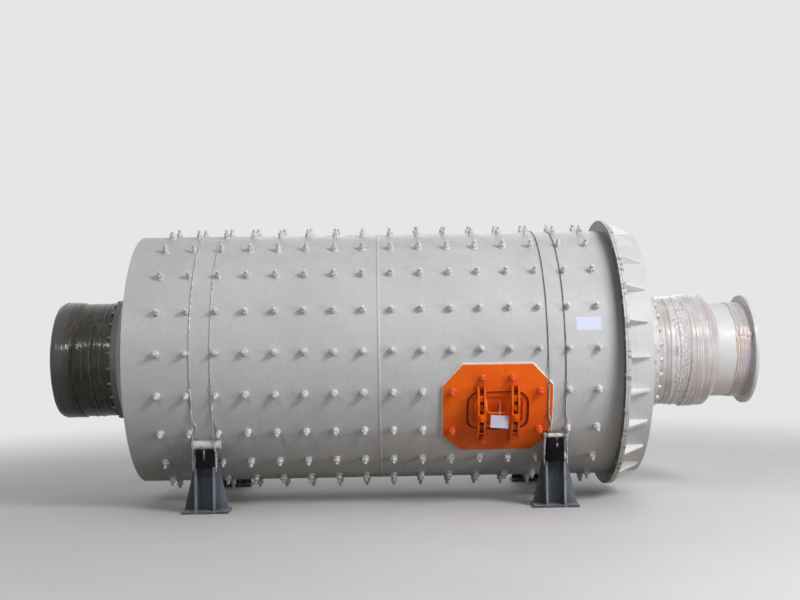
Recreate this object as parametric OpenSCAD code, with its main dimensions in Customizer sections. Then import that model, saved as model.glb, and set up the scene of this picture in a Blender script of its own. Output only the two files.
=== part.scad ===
// Ball mill drum on four welded shipping stands.
// X runs along the mill towards the discharge end, Y away from the manhole side, Z up.
// The origin is on the floor, halfway along the mill and under its axis.

/* [Shell] */
// Outer diameter of the shell
shell_d = 2144; // [1800:1:2400]
// Plate thickness of the shell
shell_t = 22; // [14:1:40]
// Length of the feed side course
feed_course_len = 2050; // [1600:5:2400]
// Length of the discharge side course
discharge_course_len = 1955; // [1800:5:2400]
// Width of the weld bead between the courses
bead_w = 24; // [12:1:40]
// Height of the weld bead above the plate
bead_h = 4; // [2:0.5:6]
// Height of the underside of the shell above the floor
shell_clear = 168; // [150:1:240]

/* [Gear flange] */
// How far the flange stands out from the shell
gear_flange_reach = 92; // [80:1:120]
// Thickness of the flange
gear_flange_t = 40; // [24:1:60]
// Number of bolt holes
gear_hole_n = 24; // [12:12:48]
// Diameter of a bolt hole
gear_hole_d = 33; // [22:1:39]
// Distance from the bolt circle to the rim of the flange
gear_hole_edge = 33; // [26:1:38]

/* [Discharge head] */
// Step from the outside of the shell in to the barrel of the head
barrel_inset = 10; // [4:1:20]
// Length of the barrel
barrel_len = 207; // [150:1:260]
// Wall thickness of the barrel
barrel_t = 30; // [20:1:40]
// Number of ribs
rib_n = 24; // [12:12:36]
// Thickness of a rib
rib_t = 20; // [14:1:32]
// Length of a rib
rib_len = 170; // [120:1:200]
// Height of a rib at its low end
rib_low_h = 18; // [8:1:40]
// Gap between the high end of a rib and the rim of the flange
rib_rim_gap = 4; // [2:1:12]
// Size of the notch in the corner of a rib
rib_notch = 28; // [16:1:40]
// Angle of the first rib above the horizontal
rib_angle = -1; // [-7:0.5:7]

/* [Heads] */
// Rise of the dished end wall from its rim to the trunnion flange
dish_rise = 130; // [80:1:180]
// Thickness of the end walls
dish_t = 40; // [25:1:60]
// Rise of the feed head
feed_rise = 170; // [120:1:200]
// Width of the flat rim that seats the feed head in the shell
feed_rim_w = 60; // [40:1:90]

/* [Trunnions] */
// Diameter of the bore through both trunnions
bore_d = 780; // [700:1:820]
// Radial width of a trunnion flange
trunnion_flange_w = 130; // [120:1:150]
// Thickness of a trunnion flange
trunnion_flange_t = 50; // [35:1:70]
// Wall thickness of the feed journal
feed_journal_t = 95; // [80:1:100]
// Length of the feed journal
feed_journal_len = 508; // [420:1:620]
// Wall thickness of the discharge journal
discharge_journal_t = 82; // [75:1:90]
// Length of the discharge journal
discharge_journal_len = 453; // [380:1:560]
// Height of the collar at the end of a journal
collar_h = 12; // [6:1:16]
// Width of the collar
collar_w = 170; // [120:1:200]
// Gap between the bore and the edge of the hole in each head
head_hole_gap = 10; // [4:1:20]

/* [Film wraps] */
// Thickness of the wound film
film_t = 9; // [5:0.5:14]
// Clearance between the film and the metal
film_gap = 0.4; // [0.3:0.1:1]
// Width of the film band round the discharge tube
band_w = 120; // [80:1:180]
// Gap between the band and the end flange
band_off = 25; // [10:1:60]

/* [Discharge tube] */
// Wall thickness of the tube
tube_t = 20; // [12:1:22]
// Step from the bore of the trunnion out to the bore of the tube
tube_step = 3; // [1:0.5:10]
// Length of the tube up to its flange
tube_len = 383; // [300:1:480]
// How far the end flange stands out from the tube
end_flange_reach = 64.5; // [50:0.5:90]
// Thickness of the end flange
end_flange_t = 25; // [16:1:40]
// Number of bolt holes in the end flange
end_hole_n = 24; // [12:4:32]
// Diameter of a bolt hole in the end flange
end_hole_d = 22; // [14:1:26]

/* [Manhole] */
// Distance of the manhole centre from the feed end of the shell
manhole_x = 2996; // [2900:1:3010]
// Angle of the manhole centre above the horizontal
manhole_angle = -24.2; // [-26:0.1:-22]
// Width of the frame plate along the shell
frame_w = 880; // [820:1:940]
// Height of the frame plate round the shell
frame_h = 772; // [740:1:800]
// Length of the straight top and bottom edges
frame_flat_w = 560; // [500:1:620]
// Length of the straight side edges
frame_flat_h = 446; // [380:1:500]
// Thickness of the frame plate
frame_t = 22; // [16:1:30]
// Width of the opening
opening_w = 502; // [480:1:540]
// Height of the opening
opening_h = 350; // [330:1:370]
// Corner radius of the opening
opening_r = 105; // [60:1:150]
// Gap round the cover
cover_gap = 16; // [8:1:20]
// Depth of the cover face below the frame face
cover_sink = 18; // [8:1:20]
// Thickness of the cover
cover_t = 30; // [24:1:40]
// Width of the raised rim of the cover
cover_rim_w = 34; // [20:1:50]
// Depth of the panel of the cover below its rim
panel_sink = 14; // [6:1:18]

/* [Manhole clamps] */
// Distance between the middles of the two clamps
clamp_pitch = 270; // [250:1:290]
// How far a clamp reaches over the frame plate at each end
clamp_overlap = 50; // [40:1:60]
// Height of a clamp over the frame plate
clamp_h = 96; // [80:1:110]
// Clearance of a clamp over the cover
clamp_arch = 14; // [8:1:20]
// Share of a clamp's height and length at which its top starts to slope
clamp_slope = 0.45; // [0.35:0.05:0.6]
// Thickness of a side plate
clamp_plate_t = 16; // [10:1:18]
// Clear width between the side plates
clamp_slot = 35; // [33:1:46]
// Diameter of the clamp bolt
clamp_bolt_d = 30; // [24:1:36]
// Width of the nut of a clamp bolt over its corners
nut_w = 54; // [44:1:66]
// Height of the nut of a clamp bolt
nut_h = 24; // [18:1:32]
// Thickness of the washer plate under the nut
washer_t = 10; // [6:1:14]
// Length of the washer plate
washer_len = 60; // [50:1:80]
// Diameter of the handle bar
handle_d = 16; // [12:1:20]
// Width of the handle
handle_w = 184; // [160:1:186]
// Bend radius of the handle
handle_bend = 30; // [20:1:40]
// Reach of the handle bar out from the cover
handle_out = 62; // [50:1:80]
// Height of the handle bar above the middle of the cover
handle_up = 12; // [0:1:20]

/* [Stands] */
// Distance of the feed stands from the feed end of the shell
feed_stand_x = 626; // [600:1:640]
// Distance of the discharge stands from the feed end of the shell
discharge_stand_x = 3472; // [3460:1:3485]
// Distance from the side of the shell in to the middle of a stand
stand_inset = 292; // [270:1:300]
// Height of the shell above the column top over the middle of a stand
seat_h = 129.6; // [115:0.1:150]
// Width of a column along the mill
column_w = 168; // [160:1:180]
// Depth of a column across the mill
column_depth = 200; // [180:1:220]
// Thickness of the column flanges
column_flange_t = 20; // [14:1:28]
// Thickness of the column web and of the side gussets
column_web_t = 14; // [8:1:20]
// Width of the base plate along the mill
base_w = 372; // [340:1:400]
// Depth of the base plate across the mill
base_depth = 230; // [225:1:260]
// Thickness of the base plate
base_t = 22; // [16:1:30]
// Width of a gusset at its top
gusset_top_w = 16; // [4:1:30]
// Distance from the foot of a gusset to the edge of the base plate
base_margin = 4; // [2:1:20]
// Radius of the lug that holds a lashing
lug_r = 10; // [8:1:12]
// Length of the lug
lug_len = 18; // [15:1:22]

/* [Saddles and tie bars] */
// Width of a saddle block along the mill
block_w = 128; // [110:1:130]
// Depth of a saddle block across the mill
block_depth = 245; // [235:1:255]
// Height of the feed side saddle block
feed_block_h = 145; // [130:1:160]
// Height of the discharge side saddle block
discharge_block_h = 195; // [185:1:200]
// Diameter of the feed side tie bar
feed_bar_d = 74; // [60:1:80]
// Length of the feed side tie bar
feed_bar_len = 232; // [226:1:250]
// Distance from the middle of the feed side tie bar to the middle of its stand
feed_bar_off = 18; // [0:1:20]
// Diameter of the discharge side tie bar
discharge_bar_d = 36; // [30:1:46]
// Length of the discharge side tie bar
discharge_bar_len = 200; // [196:1:240]

/* [Wires] */
// Diameter of a wire over the drum
wire_d = 8; // [6:0.5:8]
// Distance between the two feed side wires
feed_wire_gap = 166; // [162:1:166]
// Distance between the two discharge side wires
discharge_wire_gap = 140; // [138:1:142]
// Diameter of a lashing wire
lash_d = 6; // [5:0.5:6]
// Clearance between a lashing and the column
lash_gap = 5; // [4.5:0.5:6]
// Clearance between a wire and what it lies on
wire_gap = 0.3; // [0.2:0.1:0.6]

/* [Hidden] */
$fn = 128;
// Turn of a wire round a tie bar, in degrees, and the number of straight steps in it
coil_span = 300;
coil_steps = 24;
// Places of the rungs in a clamp, as shares of its length
rung_places = [-0.36, -0.2, 0.2, 0.36];

shell_r = shell_d / 2;
axis_z = shell_clear + shell_r;
stand_y = shell_r - stand_inset;
column_top = axis_z - sqrt(pow(shell_r, 2) - pow(stand_y, 2)) - seat_h;
shell_len = feed_course_len + discharge_course_len;
overall_len = feed_journal_len + trunnion_flange_t + feed_rise + shell_len + gear_flange_t
  + barrel_len + dish_rise + trunnion_flange_t + discharge_journal_len + tube_len + end_flange_t;

// Stations along the mill, from the feed end to the discharge end
x_feed_end = -overall_len / 2;
x_feed_flange = x_feed_end + feed_journal_len;
x_feed_head = x_feed_flange + trunnion_flange_t;
x_shell = x_feed_head + feed_rise;
x_seam = x_shell + feed_course_len;
x_gear = x_shell + shell_len;
x_barrel = x_gear + gear_flange_t;
x_dish = x_barrel + barrel_len;
x_out_flange = x_dish + dish_rise;
x_out_journal = x_out_flange + trunnion_flange_t;
x_tube = x_out_journal + discharge_journal_len;
x_end_flange = x_tube + tube_len;

gear_flange_r = shell_r + gear_flange_reach;
barrel_r = shell_r - barrel_inset;
bore_r = bore_d / 2;
head_hole_r = bore_r + head_hole_gap;
trunnion_flange_r = bore_r + trunnion_flange_w;
tube_bore_r = bore_r + tube_step;
tube_r = tube_bore_r + tube_t;
end_flange_r = tube_r + end_flange_reach;
frame_r = shell_r + frame_t;
cover_r = frame_r - cover_sink;
panel_r = cover_r - panel_sink;
clamp_len = opening_h + 2 * clamp_overlap;
mill_color = "gainsboro";
manhole_color = "orangered";
stand_color = "slategray";
wire_color = "gray";

// Turns a profile of [radius, station] points about the mill axis
module turn(profile) {
  translate([0, 0, axis_z]) rotate([0, 90, 0]) rotate_extrude() polygon(profile);
}

// A plain ring about the mill axis
module ring(x, length, outer_r, inner_r) {
  turn([[inner_r, x], [outer_r, x], [outer_r, x + length], [inner_r, x + length]]);
}

// Bolt holes along the mill on a circle, the first one at an angle above the horizontal
module hole_circle(x, length, count, circle_r, d, first) {
  for (i = [0 : count - 1])
    translate([x - 1, 0, axis_z])
      rotate([-first - i * 360 / count, 0, 0])
        translate([0, -circle_r, 0])
          rotate([0, 90, 0]) cylinder(h = length + 2, d = d, $fn = 32);
}

// Puts children on the manhole axis: local Z points out of the shell and local Y up along it
module at_manhole() {
  translate([x_shell + manhole_x, 0, axis_z]) rotate([90 - manhole_angle, 0, 0]) children();
}

module rounded_plate(w, h, r, thickness) {
  linear_extrude(thickness) union() {
    square([w - 2 * r, h], center = true);
    square([w, h - 2 * r], center = true);
    for (x = [-1, 1], y = [-1, 1])
      translate([x * (w / 2 - r), y * (h / 2 - r)]) circle(r, $fn = 48);
  }
}

// Shell
module opening_cut() {
  at_manhole() translate([0, 0, shell_r / 2])
    rounded_plate(opening_w, opening_h, opening_r, shell_r);
}

module shell_feed_course() {
  color(mill_color) ring(x_shell, feed_course_len, shell_r, shell_r - shell_t);
}

module shell_discharge_course() {
  color(mill_color) difference() {
    ring(x_seam, discharge_course_len, shell_r, shell_r - shell_t);
    opening_cut();
  }
}

module shell_weld_bead() {
  color(mill_color) turn([
    [shell_r, x_seam - bead_w / 2], [shell_r + bead_h, x_seam - bead_w / 4],
    [shell_r + bead_h, x_seam + bead_w / 4], [shell_r, x_seam + bead_w / 2]
  ]);
}

module gear_flange() {
  color("gray") difference() {
    ring(x_gear, gear_flange_t, gear_flange_r, shell_r - shell_t);
    hole_circle(x_gear, gear_flange_t, gear_hole_n, gear_flange_r - gear_hole_edge, gear_hole_d,
      rib_angle + 180 / gear_hole_n);
  }
}

// Heads
module discharge_rib() {
  foot_r = barrel_r - barrel_t / 2;
  x_low = x_barrel + rib_len;
  linear_extrude(rib_t, center = true) polygon([
    [x_barrel + rib_notch, foot_r], [x_low, foot_r], [x_low, barrel_r + rib_low_h],
    [x_barrel, gear_flange_r - rib_rim_gap], [x_barrel, barrel_r + rib_notch],
    [x_barrel + rib_notch, barrel_r]
  ]);
}

module discharge_barrel() {
  color(mill_color) union() {
    ring(x_barrel, barrel_len, barrel_r, barrel_r - barrel_t);
    for (i = [0 : rib_n - 1])
      translate([0, 0, axis_z])
        rotate([180 - rib_angle - i * 360 / rib_n, 0, 0]) discharge_rib();
  }
}

// Dished end wall welded to the end of the barrel
module discharge_head() {
  inner_r = barrel_r - (barrel_r - trunnion_flange_r) * dish_t / dish_rise;
  color(mill_color) turn([
    [inner_r, x_dish], [barrel_r, x_dish],
    [trunnion_flange_r, x_out_flange], [head_hole_r, x_out_flange],
    [head_hole_r, x_out_flange - dish_t], [trunnion_flange_r, x_out_flange - dish_t]
  ]);
}

module feed_head() {
  seat_r = shell_r - shell_t;
  color(mill_color) turn([
    [head_hole_r, x_feed_head], [trunnion_flange_r, x_feed_head],
    [seat_r - feed_rim_w, x_shell], [seat_r, x_shell],
    [seat_r, x_shell + dish_t], [seat_r - feed_rim_w, x_shell + dish_t],
    [trunnion_flange_r, x_feed_head + dish_t], [head_hole_r, x_feed_head + dish_t]
  ]);
}

// Trunnions, made outwards from the end wall, along = -1 on the feed side
module trunnion_flange(x_face, along) {
  ring(min(x_face, x_face + along * trunnion_flange_t), trunnion_flange_t, trunnion_flange_r, bore_r);
}

module trunnion(x_flange, along, journal_t, journal_len) {
  x_end = x_flange + along * journal_len;
  journal_r = bore_r + journal_t;
  chamfer = collar_h / 2;
  turn([
    [bore_r, x_flange], [journal_r, x_flange],
    [journal_r, x_end - along * collar_w],
    [journal_r + collar_h, x_end - along * (collar_w - chamfer)],
    [journal_r + collar_h, x_end - along * chamfer],
    [journal_r + collar_h - chamfer, x_end], [bore_r, x_end]
  ]);
}

module feed_trunnion() {
  color("silver") trunnion(x_feed_flange, -1, feed_journal_t, feed_journal_len);
}

module feed_trunnion_flange() {
  color("silver") trunnion_flange(x_feed_head, -1);
}

module discharge_trunnion() {
  color("silver") trunnion(x_out_journal, 1, discharge_journal_t, discharge_journal_len);
}

module discharge_trunnion_flange() {
  color("silver") trunnion_flange(x_out_flange, 1);
}

// Film wound over a journal and its collar
module journal_wrap(x_flange, along, journal_t, journal_len) {
  x_end = x_flange + along * journal_len;
  inner_r = bore_r + journal_t + film_gap;
  x_step = x_end - along * collar_w;
  x_start = x_flange + along * film_gap;
  turn([
    [inner_r, x_start], [inner_r + film_t, x_start],
    [inner_r + film_t, x_step - along * film_t],
    [inner_r + film_t + collar_h, x_step],
    [inner_r + film_t + collar_h, x_end - along * film_t],
    [inner_r + collar_h, x_end],
    [inner_r + collar_h, x_step - along * film_gap],
    [inner_r, x_step - along * film_gap]
  ]);
}

module feed_journal_wrap() {
  color("darkolivegreen") journal_wrap(x_feed_flange, -1, feed_journal_t, feed_journal_len);
}

module discharge_journal_wrap() {
  color("mistyrose") journal_wrap(x_out_journal, 1, discharge_journal_t, discharge_journal_len);
}

// Discharge tube
module discharge_tube() {
  color(mill_color) ring(x_tube, tube_len, tube_r, tube_bore_r);
}

module discharge_flange() {
  color(mill_color) difference() {
    ring(x_end_flange, end_flange_t, end_flange_r, tube_bore_r);
    hole_circle(x_end_flange, end_flange_t, end_hole_n, (end_flange_r + tube_r) / 2, end_hole_d, 0);
  }
}

module discharge_tube_wrap() {
  inner_r = tube_r + film_gap;
  color("mistyrose")
    ring(x_end_flange - band_off - band_w, band_w, inner_r + film_t / 2, inner_r);
}

// Manhole
module frame_outline() {
  polygon([
    [-frame_flat_w / 2, frame_h / 2], [frame_flat_w / 2, frame_h / 2],
    [frame_w / 2, frame_flat_h / 2], [frame_w / 2, -frame_flat_h / 2],
    [frame_flat_w / 2, -frame_h / 2], [-frame_flat_w / 2, -frame_h / 2],
    [-frame_w / 2, -frame_flat_h / 2], [-frame_w / 2, frame_flat_h / 2]
  ]);
}

module manhole_frame() {
  color(manhole_color) difference() {
    intersection() {
      ring(x_shell + manhole_x - frame_w / 2, frame_w, frame_r, shell_r);
      at_manhole() translate([0, 0, shell_r / 2]) linear_extrude(shell_r) frame_outline();
    }
    opening_cut();
  }
}

// Outline of the cover, set in from the edge of the opening
module cover_core(inset, depth) {
  rounded_plate(opening_w - 2 * inset, opening_h - 2 * inset, opening_r - inset, depth);
}

module manhole_cover() {
  x_from = x_shell + manhole_x - opening_w / 2;
  color(manhole_color) difference() {
    intersection() {
      ring(x_from, opening_w, cover_r, cover_r - cover_t);
      at_manhole() translate([0, 0, shell_r / 2]) cover_core(cover_gap, shell_r);
    }
    difference() {
      at_manhole() translate([0, 0, shell_r / 2]) cover_core(cover_gap + cover_rim_w, shell_r);
      ring(x_from, opening_w, panel_r, shell_r / 4);
    }
  }
}

// Side view of a clamp plate: X out from the mill axis and Y along the clamp
module clamp_profile() {
  half = clamp_len / 2;
  foot = clamp_overlap - cover_gap / 2;
  seat = panel_r;
  arch = frame_r + clamp_arch;
  top = frame_r + clamp_h;
  shoulder = frame_r + clamp_h * clamp_slope;
  polygon([
    [seat, -half], [shoulder, -half], [top, -half * clamp_slope],
    [top, half * clamp_slope], [shoulder, half], [seat, half],
    [seat, half - foot], [arch, half - foot - clamp_arch],
    [arch, -half + foot + clamp_arch], [seat, -half + foot]
  ]);
}

module clamp(x) {
  rung_h = clamp_h / 2;
  color(manhole_color) difference() {
    at_manhole() translate([x, 0, 0]) union() {
      for (side = [-1, 1])
        translate([side * (clamp_slot + clamp_plate_t) / 2, 0, 0])
          rotate([0, -90, 0])
            linear_extrude(clamp_plate_t, center = true) clamp_profile();
      for (place = rung_places)
        translate([0, place * clamp_len, frame_r + clamp_arch + rung_h / 2])
          cube([clamp_slot + clamp_plate_t, clamp_plate_t, rung_h], center = true);
    }
    ring(x_shell + manhole_x - frame_w / 2, frame_w, frame_r, shell_r / 2);
  }
}

module manhole_clamp_feed_side() {
  clamp(-clamp_pitch / 2);
}

module manhole_clamp_discharge_side() {
  clamp(clamp_pitch / 2);
}

// Studs from the cover through the clamps, each with its washer plate and nut
module manhole_clamp_bolts() {
  clamp_top = frame_r + clamp_h;
  washer_w = clamp_slot + 2 * clamp_plate_t;
  stud_from = panel_r - panel_sink;
  stud_end = clamp_top + washer_t + nut_h + clamp_bolt_d / 2;
  color("silver") difference() {
    at_manhole() for (x = [-clamp_pitch / 2, clamp_pitch / 2]) translate([x, 0, 0]) {
      translate([0, 0, stud_from]) cylinder(h = stud_end - stud_from, d = clamp_bolt_d);
      translate([-washer_w / 2, -washer_len / 2, clamp_top]) cube([washer_w, washer_len, washer_t]);
      translate([0, 0, clamp_top + washer_t]) cylinder(h = nut_h, d = nut_w, $fn = 6);
    }
    ring(x_shell + manhole_x - frame_w / 2, frame_w, panel_r, shell_r / 2);
  }
}

// A round bar swept along a flat path in the XY plane; a closed path joins its ends
function unit(v) = v / norm(v);
function side_of(v) = [-v[1], v[0]];
function step_at(path, i, closed) =
  let (n = len(path))
  let (before = !closed && i == 0 ? [0, 0] : unit(path[i] - path[(i + n - 1) % n]))
  let (after = !closed && i == n - 1 ? [0, 0] : unit(path[(i + 1) % n] - path[i]))
  unit(before + after);

module rod(path, d, sides = 8, closed = false) {
  n = len(path);
  rings = [
    for (i = [0 : n - 1])
      let (across = side_of(step_at(path, i, closed)))
      for (j = [0 : sides - 1])
        let (a = 360 * j / sides)
        [
          path[i][0] + d / 2 * cos(a) * across[0],
          path[i][1] + d / 2 * cos(a) * across[1],
          d / 2 * sin(a)
        ]
  ];
  last = closed ? n - 1 : n - 2;
  walls = [
    for (i = [0 : last]) for (j = [0 : sides - 1])
      let (p = i * sides, q = ((i + 1) % n) * sides, k = (j + 1) % sides)
      [p + j, q + j, q + k, p + k]
  ];
  ends = closed ? [] : [
    [for (j = [0 : sides - 1]) j],
    [for (j = [sides - 1 : -1 : 0]) (n - 1) * sides + j]
  ];
  polyhedron(rings, concat(walls, ends), convexity = 6);
}

function arc(c, r, from, to, steps) =
  [for (i = [0 : steps]) let (a = from + (to - from) * i / steps) c + r * [cos(a), sin(a)]];

// Handle of the cover, bent from round bar and leaning out from it at 45 degrees
module manhole_handle() {
  reach = handle_out * sqrt(2);
  half = handle_w / 2;
  path = concat(
    [[-half, -2 * panel_sink]],
    arc([-half + handle_bend, reach - handle_bend], handle_bend, 180, 90, 4),
    arc([half - handle_bend, reach - handle_bend], handle_bend, 90, 0, 4),
    [[half, -2 * panel_sink]]
  );
  color(manhole_color) difference() {
    at_manhole() translate([0, handle_up + handle_out, cover_r])
      rotate([135, 0, 0]) rod(path, handle_d, 12);
    ring(x_shell + manhole_x - frame_w / 2, frame_w, panel_r, shell_r / 2);
  }
}

// Stands. side = -1 in front of the mill and 1 behind it
module at_stand(x, side) {
  translate([x_shell + x, 0, 0]) mirror([0, side < 0 ? 0 : 1, 0]) children();
}

module stand(x, side) {
  gusset_h = column_top - base_t;
  half = column_w / 2;
  color(stand_color) at_stand(x, side) translate([0, -stand_y, 0]) union() {
    translate([-base_w / 2, -base_depth / 2, 0]) cube([base_w, base_depth, base_t]);
    for (end = [-1, 1])
      translate([end * (half - column_flange_t / 2), 0, base_t + gusset_h / 2])
        cube([column_flange_t, column_depth, gusset_h], center = true);
    translate([0, 0, base_t + gusset_h / 2])
      cube([column_w - column_flange_t, column_web_t, gusset_h], center = true);
    rotate([90, 0, 0]) linear_extrude(column_web_t, center = true) for (end = [-1, 1])
      polygon([
        [end * (half - column_flange_t / 2), base_t], [end * (base_w / 2 - base_margin), base_t],
        [end * (half + gusset_top_w), column_top], [end * (half - column_flange_t / 2), column_top]
      ]);
    for (end = [-1, 1])
      translate([end * (half - column_flange_t / 2), -column_depth / 2 + 2 * lug_r,
        column_top - 2 * lug_r])
        rotate([0, end * 90, 0]) cylinder(h = lug_len + column_flange_t / 2, r = lug_r);
  }
}

// Saddle block, hollowed to the shell
module saddle(x, side, height) {
  color("dimgray") difference() {
    at_stand(x, side)
      translate([-block_w / 2, -stand_y - column_depth / 2 - (block_depth - column_depth), column_top])
        cube([block_w, block_depth, height]);
    ring(x_shell, shell_len, shell_r, shell_r / 2);
  }
}

// Radius of a path of straight steps that stays outside a circle
function outside(r, span, steps) = r / cos(span / steps / 2);

// Radius of the wire's path round a tie bar
function coil_r(d) = outside((d + wire_d) / 2 + wire_gap, coil_span, coil_steps);

// Middle of a tie bar as [y, z] in front of the mill: on its block, and a wire's width off the
// shell, or off the manhole frame where the bar reaches over it
function bar_mid(height, d, lift = 0) =
  let (z = column_top + height + d / 2)
  let (away = shell_r + lift + coil_r(d) + wire_d / 2 + wire_gap)
  [-sqrt(pow(away, 2) - pow(axis_z - z, 2)), z];

module tie_bar(x, side, height, d, length, off = 0, lift = 0) {
  mid = bar_mid(height, d, lift);
  color(mill_color) at_stand(x, side) translate([off - length / 2, mid[0], mid[1]])
    rotate([0, 90, 0]) cylinder(h = length, d = d);
}

// Half height of the manhole frame at a distance from its middle along the mill
function frame_reach(dx) =
  frame_h / 2 - max(0, dx - frame_flat_w / 2)
    * (frame_h - frame_flat_h) / (frame_w - frame_flat_w);

// Bearing from the mill axis at which a wire leaves a path radius for its bar
function leave_angle(mid, path_r, bar_path_r) =
  let (to_bar = mid - [0, axis_z])
  360 + atan2(to_bar[1], to_bar[0]) - acos((path_r - bar_path_r) / norm(to_bar));

// Path of a wire across the mill: round the front bar, over the shell, round the rear bar.
// Where over_frame is the frame's half height under the wire, the wire climbs over the frame
function wire_path(height, d, lift = 0, over_frame = 0) =
  let (
    axis = [0, axis_z],
    shell_span = 220,
    shell_steps = 55,
    front = bar_mid(height, d, lift),
    back = bar_mid(height, d),
    low_r = outside(shell_r + wire_d / 2 + wire_gap, shell_span, shell_steps),
    high_r = low_r + frame_t,
    bar_r = coil_r(d),
    climbs = over_frame > 0,
    leave = leave_angle(front, climbs ? high_r : low_r, bar_r),
    corner = 180 - manhole_angle - asin(over_frame / frame_r),
    lift_off = climbs ? corner - acos(low_r / high_r) : leave,
    arrive = 180 - leave_angle(back, low_r, bar_r),
    steps = ceil((lift_off - arrive) * shell_steps / shell_span)
  )
  concat(
    arc(front, bar_r, leave + coil_span, leave, coil_steps),
    climbs ? arc(axis, high_r, leave, corner, 3) : [],
    arc(axis, low_r, lift_off, arrive, steps),
    arc([-back[0], back[1]], bar_r, arrive, arrive - coil_span, coil_steps)
  );

module wire(x, height, d, lift = 0, over_frame = 0) {
  color(wire_color) translate([x_shell + x, 0, 0]) rotate([90, 0, 90])
    rod(wire_path(height, d, lift, over_frame), wire_d);
}

// Closed loops of thin wire that tie the bar down to the lugs on the column
module lashings(x, side, height, d, lift = 0) {
  mid = bar_mid(height, d, lift);
  lug = [-stand_y - column_depth / 2 + 2 * lug_r, column_top - 2 * lug_r];
  steps = 12;
  top_r = outside((d + lash_d) / 2 + wire_gap, 180, steps);
  low_r = outside(lug_r + lash_d / 2 + wire_gap, 180, steps);
  away = norm(mid - lug);
  up = atan2(mid[1] - lug[1], mid[0] - lug[0]);
  lean = acos((top_r - low_r) / away);
  path = concat(
    arc(mid, top_r, up - lean, up + lean, steps),
    arc(lug, low_r, up + lean, up - lean + 360, steps)
  );
  color(wire_color) at_stand(x, side) for (end = [-1, 1])
    translate([end * (column_w / 2 + lash_gap + lash_d / 2), 0, 0])
      rotate([90, 0, 90]) rod(path, lash_d, 6, closed = true);
}

module front_feed_stand() { stand(feed_stand_x, -1); }
module rear_feed_stand() { stand(feed_stand_x, 1); }
module front_discharge_stand() { stand(discharge_stand_x, -1); }
module rear_discharge_stand() { stand(discharge_stand_x, 1); }
module front_feed_saddle() { saddle(feed_stand_x, -1, feed_block_h); }
module rear_feed_saddle() { saddle(feed_stand_x, 1, feed_block_h); }
module front_discharge_saddle() { saddle(discharge_stand_x, -1, discharge_block_h); }
module rear_discharge_saddle() { saddle(discharge_stand_x, 1, discharge_block_h); }
module front_feed_tie_bar() {
  tie_bar(feed_stand_x, -1, feed_block_h, feed_bar_d, feed_bar_len, feed_bar_off);
}
module rear_feed_tie_bar() {
  tie_bar(feed_stand_x, 1, feed_block_h, feed_bar_d, feed_bar_len, feed_bar_off);
}
module front_discharge_tie_bar() {
  tie_bar(discharge_stand_x, -1, discharge_block_h, discharge_bar_d, discharge_bar_len,
    lift = frame_t);
}
module rear_discharge_tie_bar() {
  tie_bar(discharge_stand_x, 1, discharge_block_h, discharge_bar_d, discharge_bar_len);
}
module feed_wire_outer() {
  wire(feed_stand_x - feed_wire_gap / 2, feed_block_h, feed_bar_d);
}
module feed_wire_inner() {
  wire(feed_stand_x + feed_wire_gap / 2, feed_block_h, feed_bar_d);
}
module discharge_wire_inner() {
  x = discharge_stand_x - discharge_wire_gap / 2;
  wire(x, discharge_block_h, discharge_bar_d, frame_t, frame_reach(x - manhole_x));
}
module discharge_wire_outer() {
  wire(discharge_stand_x + discharge_wire_gap / 2, discharge_block_h, discharge_bar_d, frame_t);
}
module front_feed_lashings() { lashings(feed_stand_x, -1, feed_block_h, feed_bar_d); }
module rear_feed_lashings() { lashings(feed_stand_x, 1, feed_block_h, feed_bar_d); }
module front_discharge_lashings() {
  lashings(discharge_stand_x, -1, discharge_block_h, discharge_bar_d, frame_t);
}
module rear_discharge_lashings() {
  lashings(discharge_stand_x, 1, discharge_block_h, discharge_bar_d);
}

shell_feed_course();
shell_discharge_course();
shell_weld_bead();
gear_flange();
discharge_barrel();
discharge_head();
feed_head();
feed_trunnion();
feed_trunnion_flange();
discharge_trunnion();
discharge_trunnion_flange();
feed_journal_wrap();
discharge_journal_wrap();
discharge_tube();
discharge_flange();
discharge_tube_wrap();
manhole_frame();
manhole_cover();
manhole_clamp_feed_side();
manhole_clamp_discharge_side();
manhole_clamp_bolts();
manhole_handle();
front_feed_stand();
rear_feed_stand();
front_discharge_stand();
rear_discharge_stand();
front_feed_saddle();
rear_feed_saddle();
front_discharge_saddle();
rear_discharge_saddle();
front_feed_tie_bar();
rear_feed_tie_bar();
front_discharge_tie_bar();
rear_discharge_tie_bar();
feed_wire_outer();
feed_wire_inner();
discharge_wire_inner();
discharge_wire_outer();
front_feed_lashings();
rear_feed_lashings();
front_discharge_lashings();
rear_discharge_lashings();
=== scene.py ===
import bpy
from math import acos, asin, atan2, ceil, cos, exp, hypot, pi, radians, sin, tau
from mathutils import Matrix, Vector
from random import Random


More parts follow.
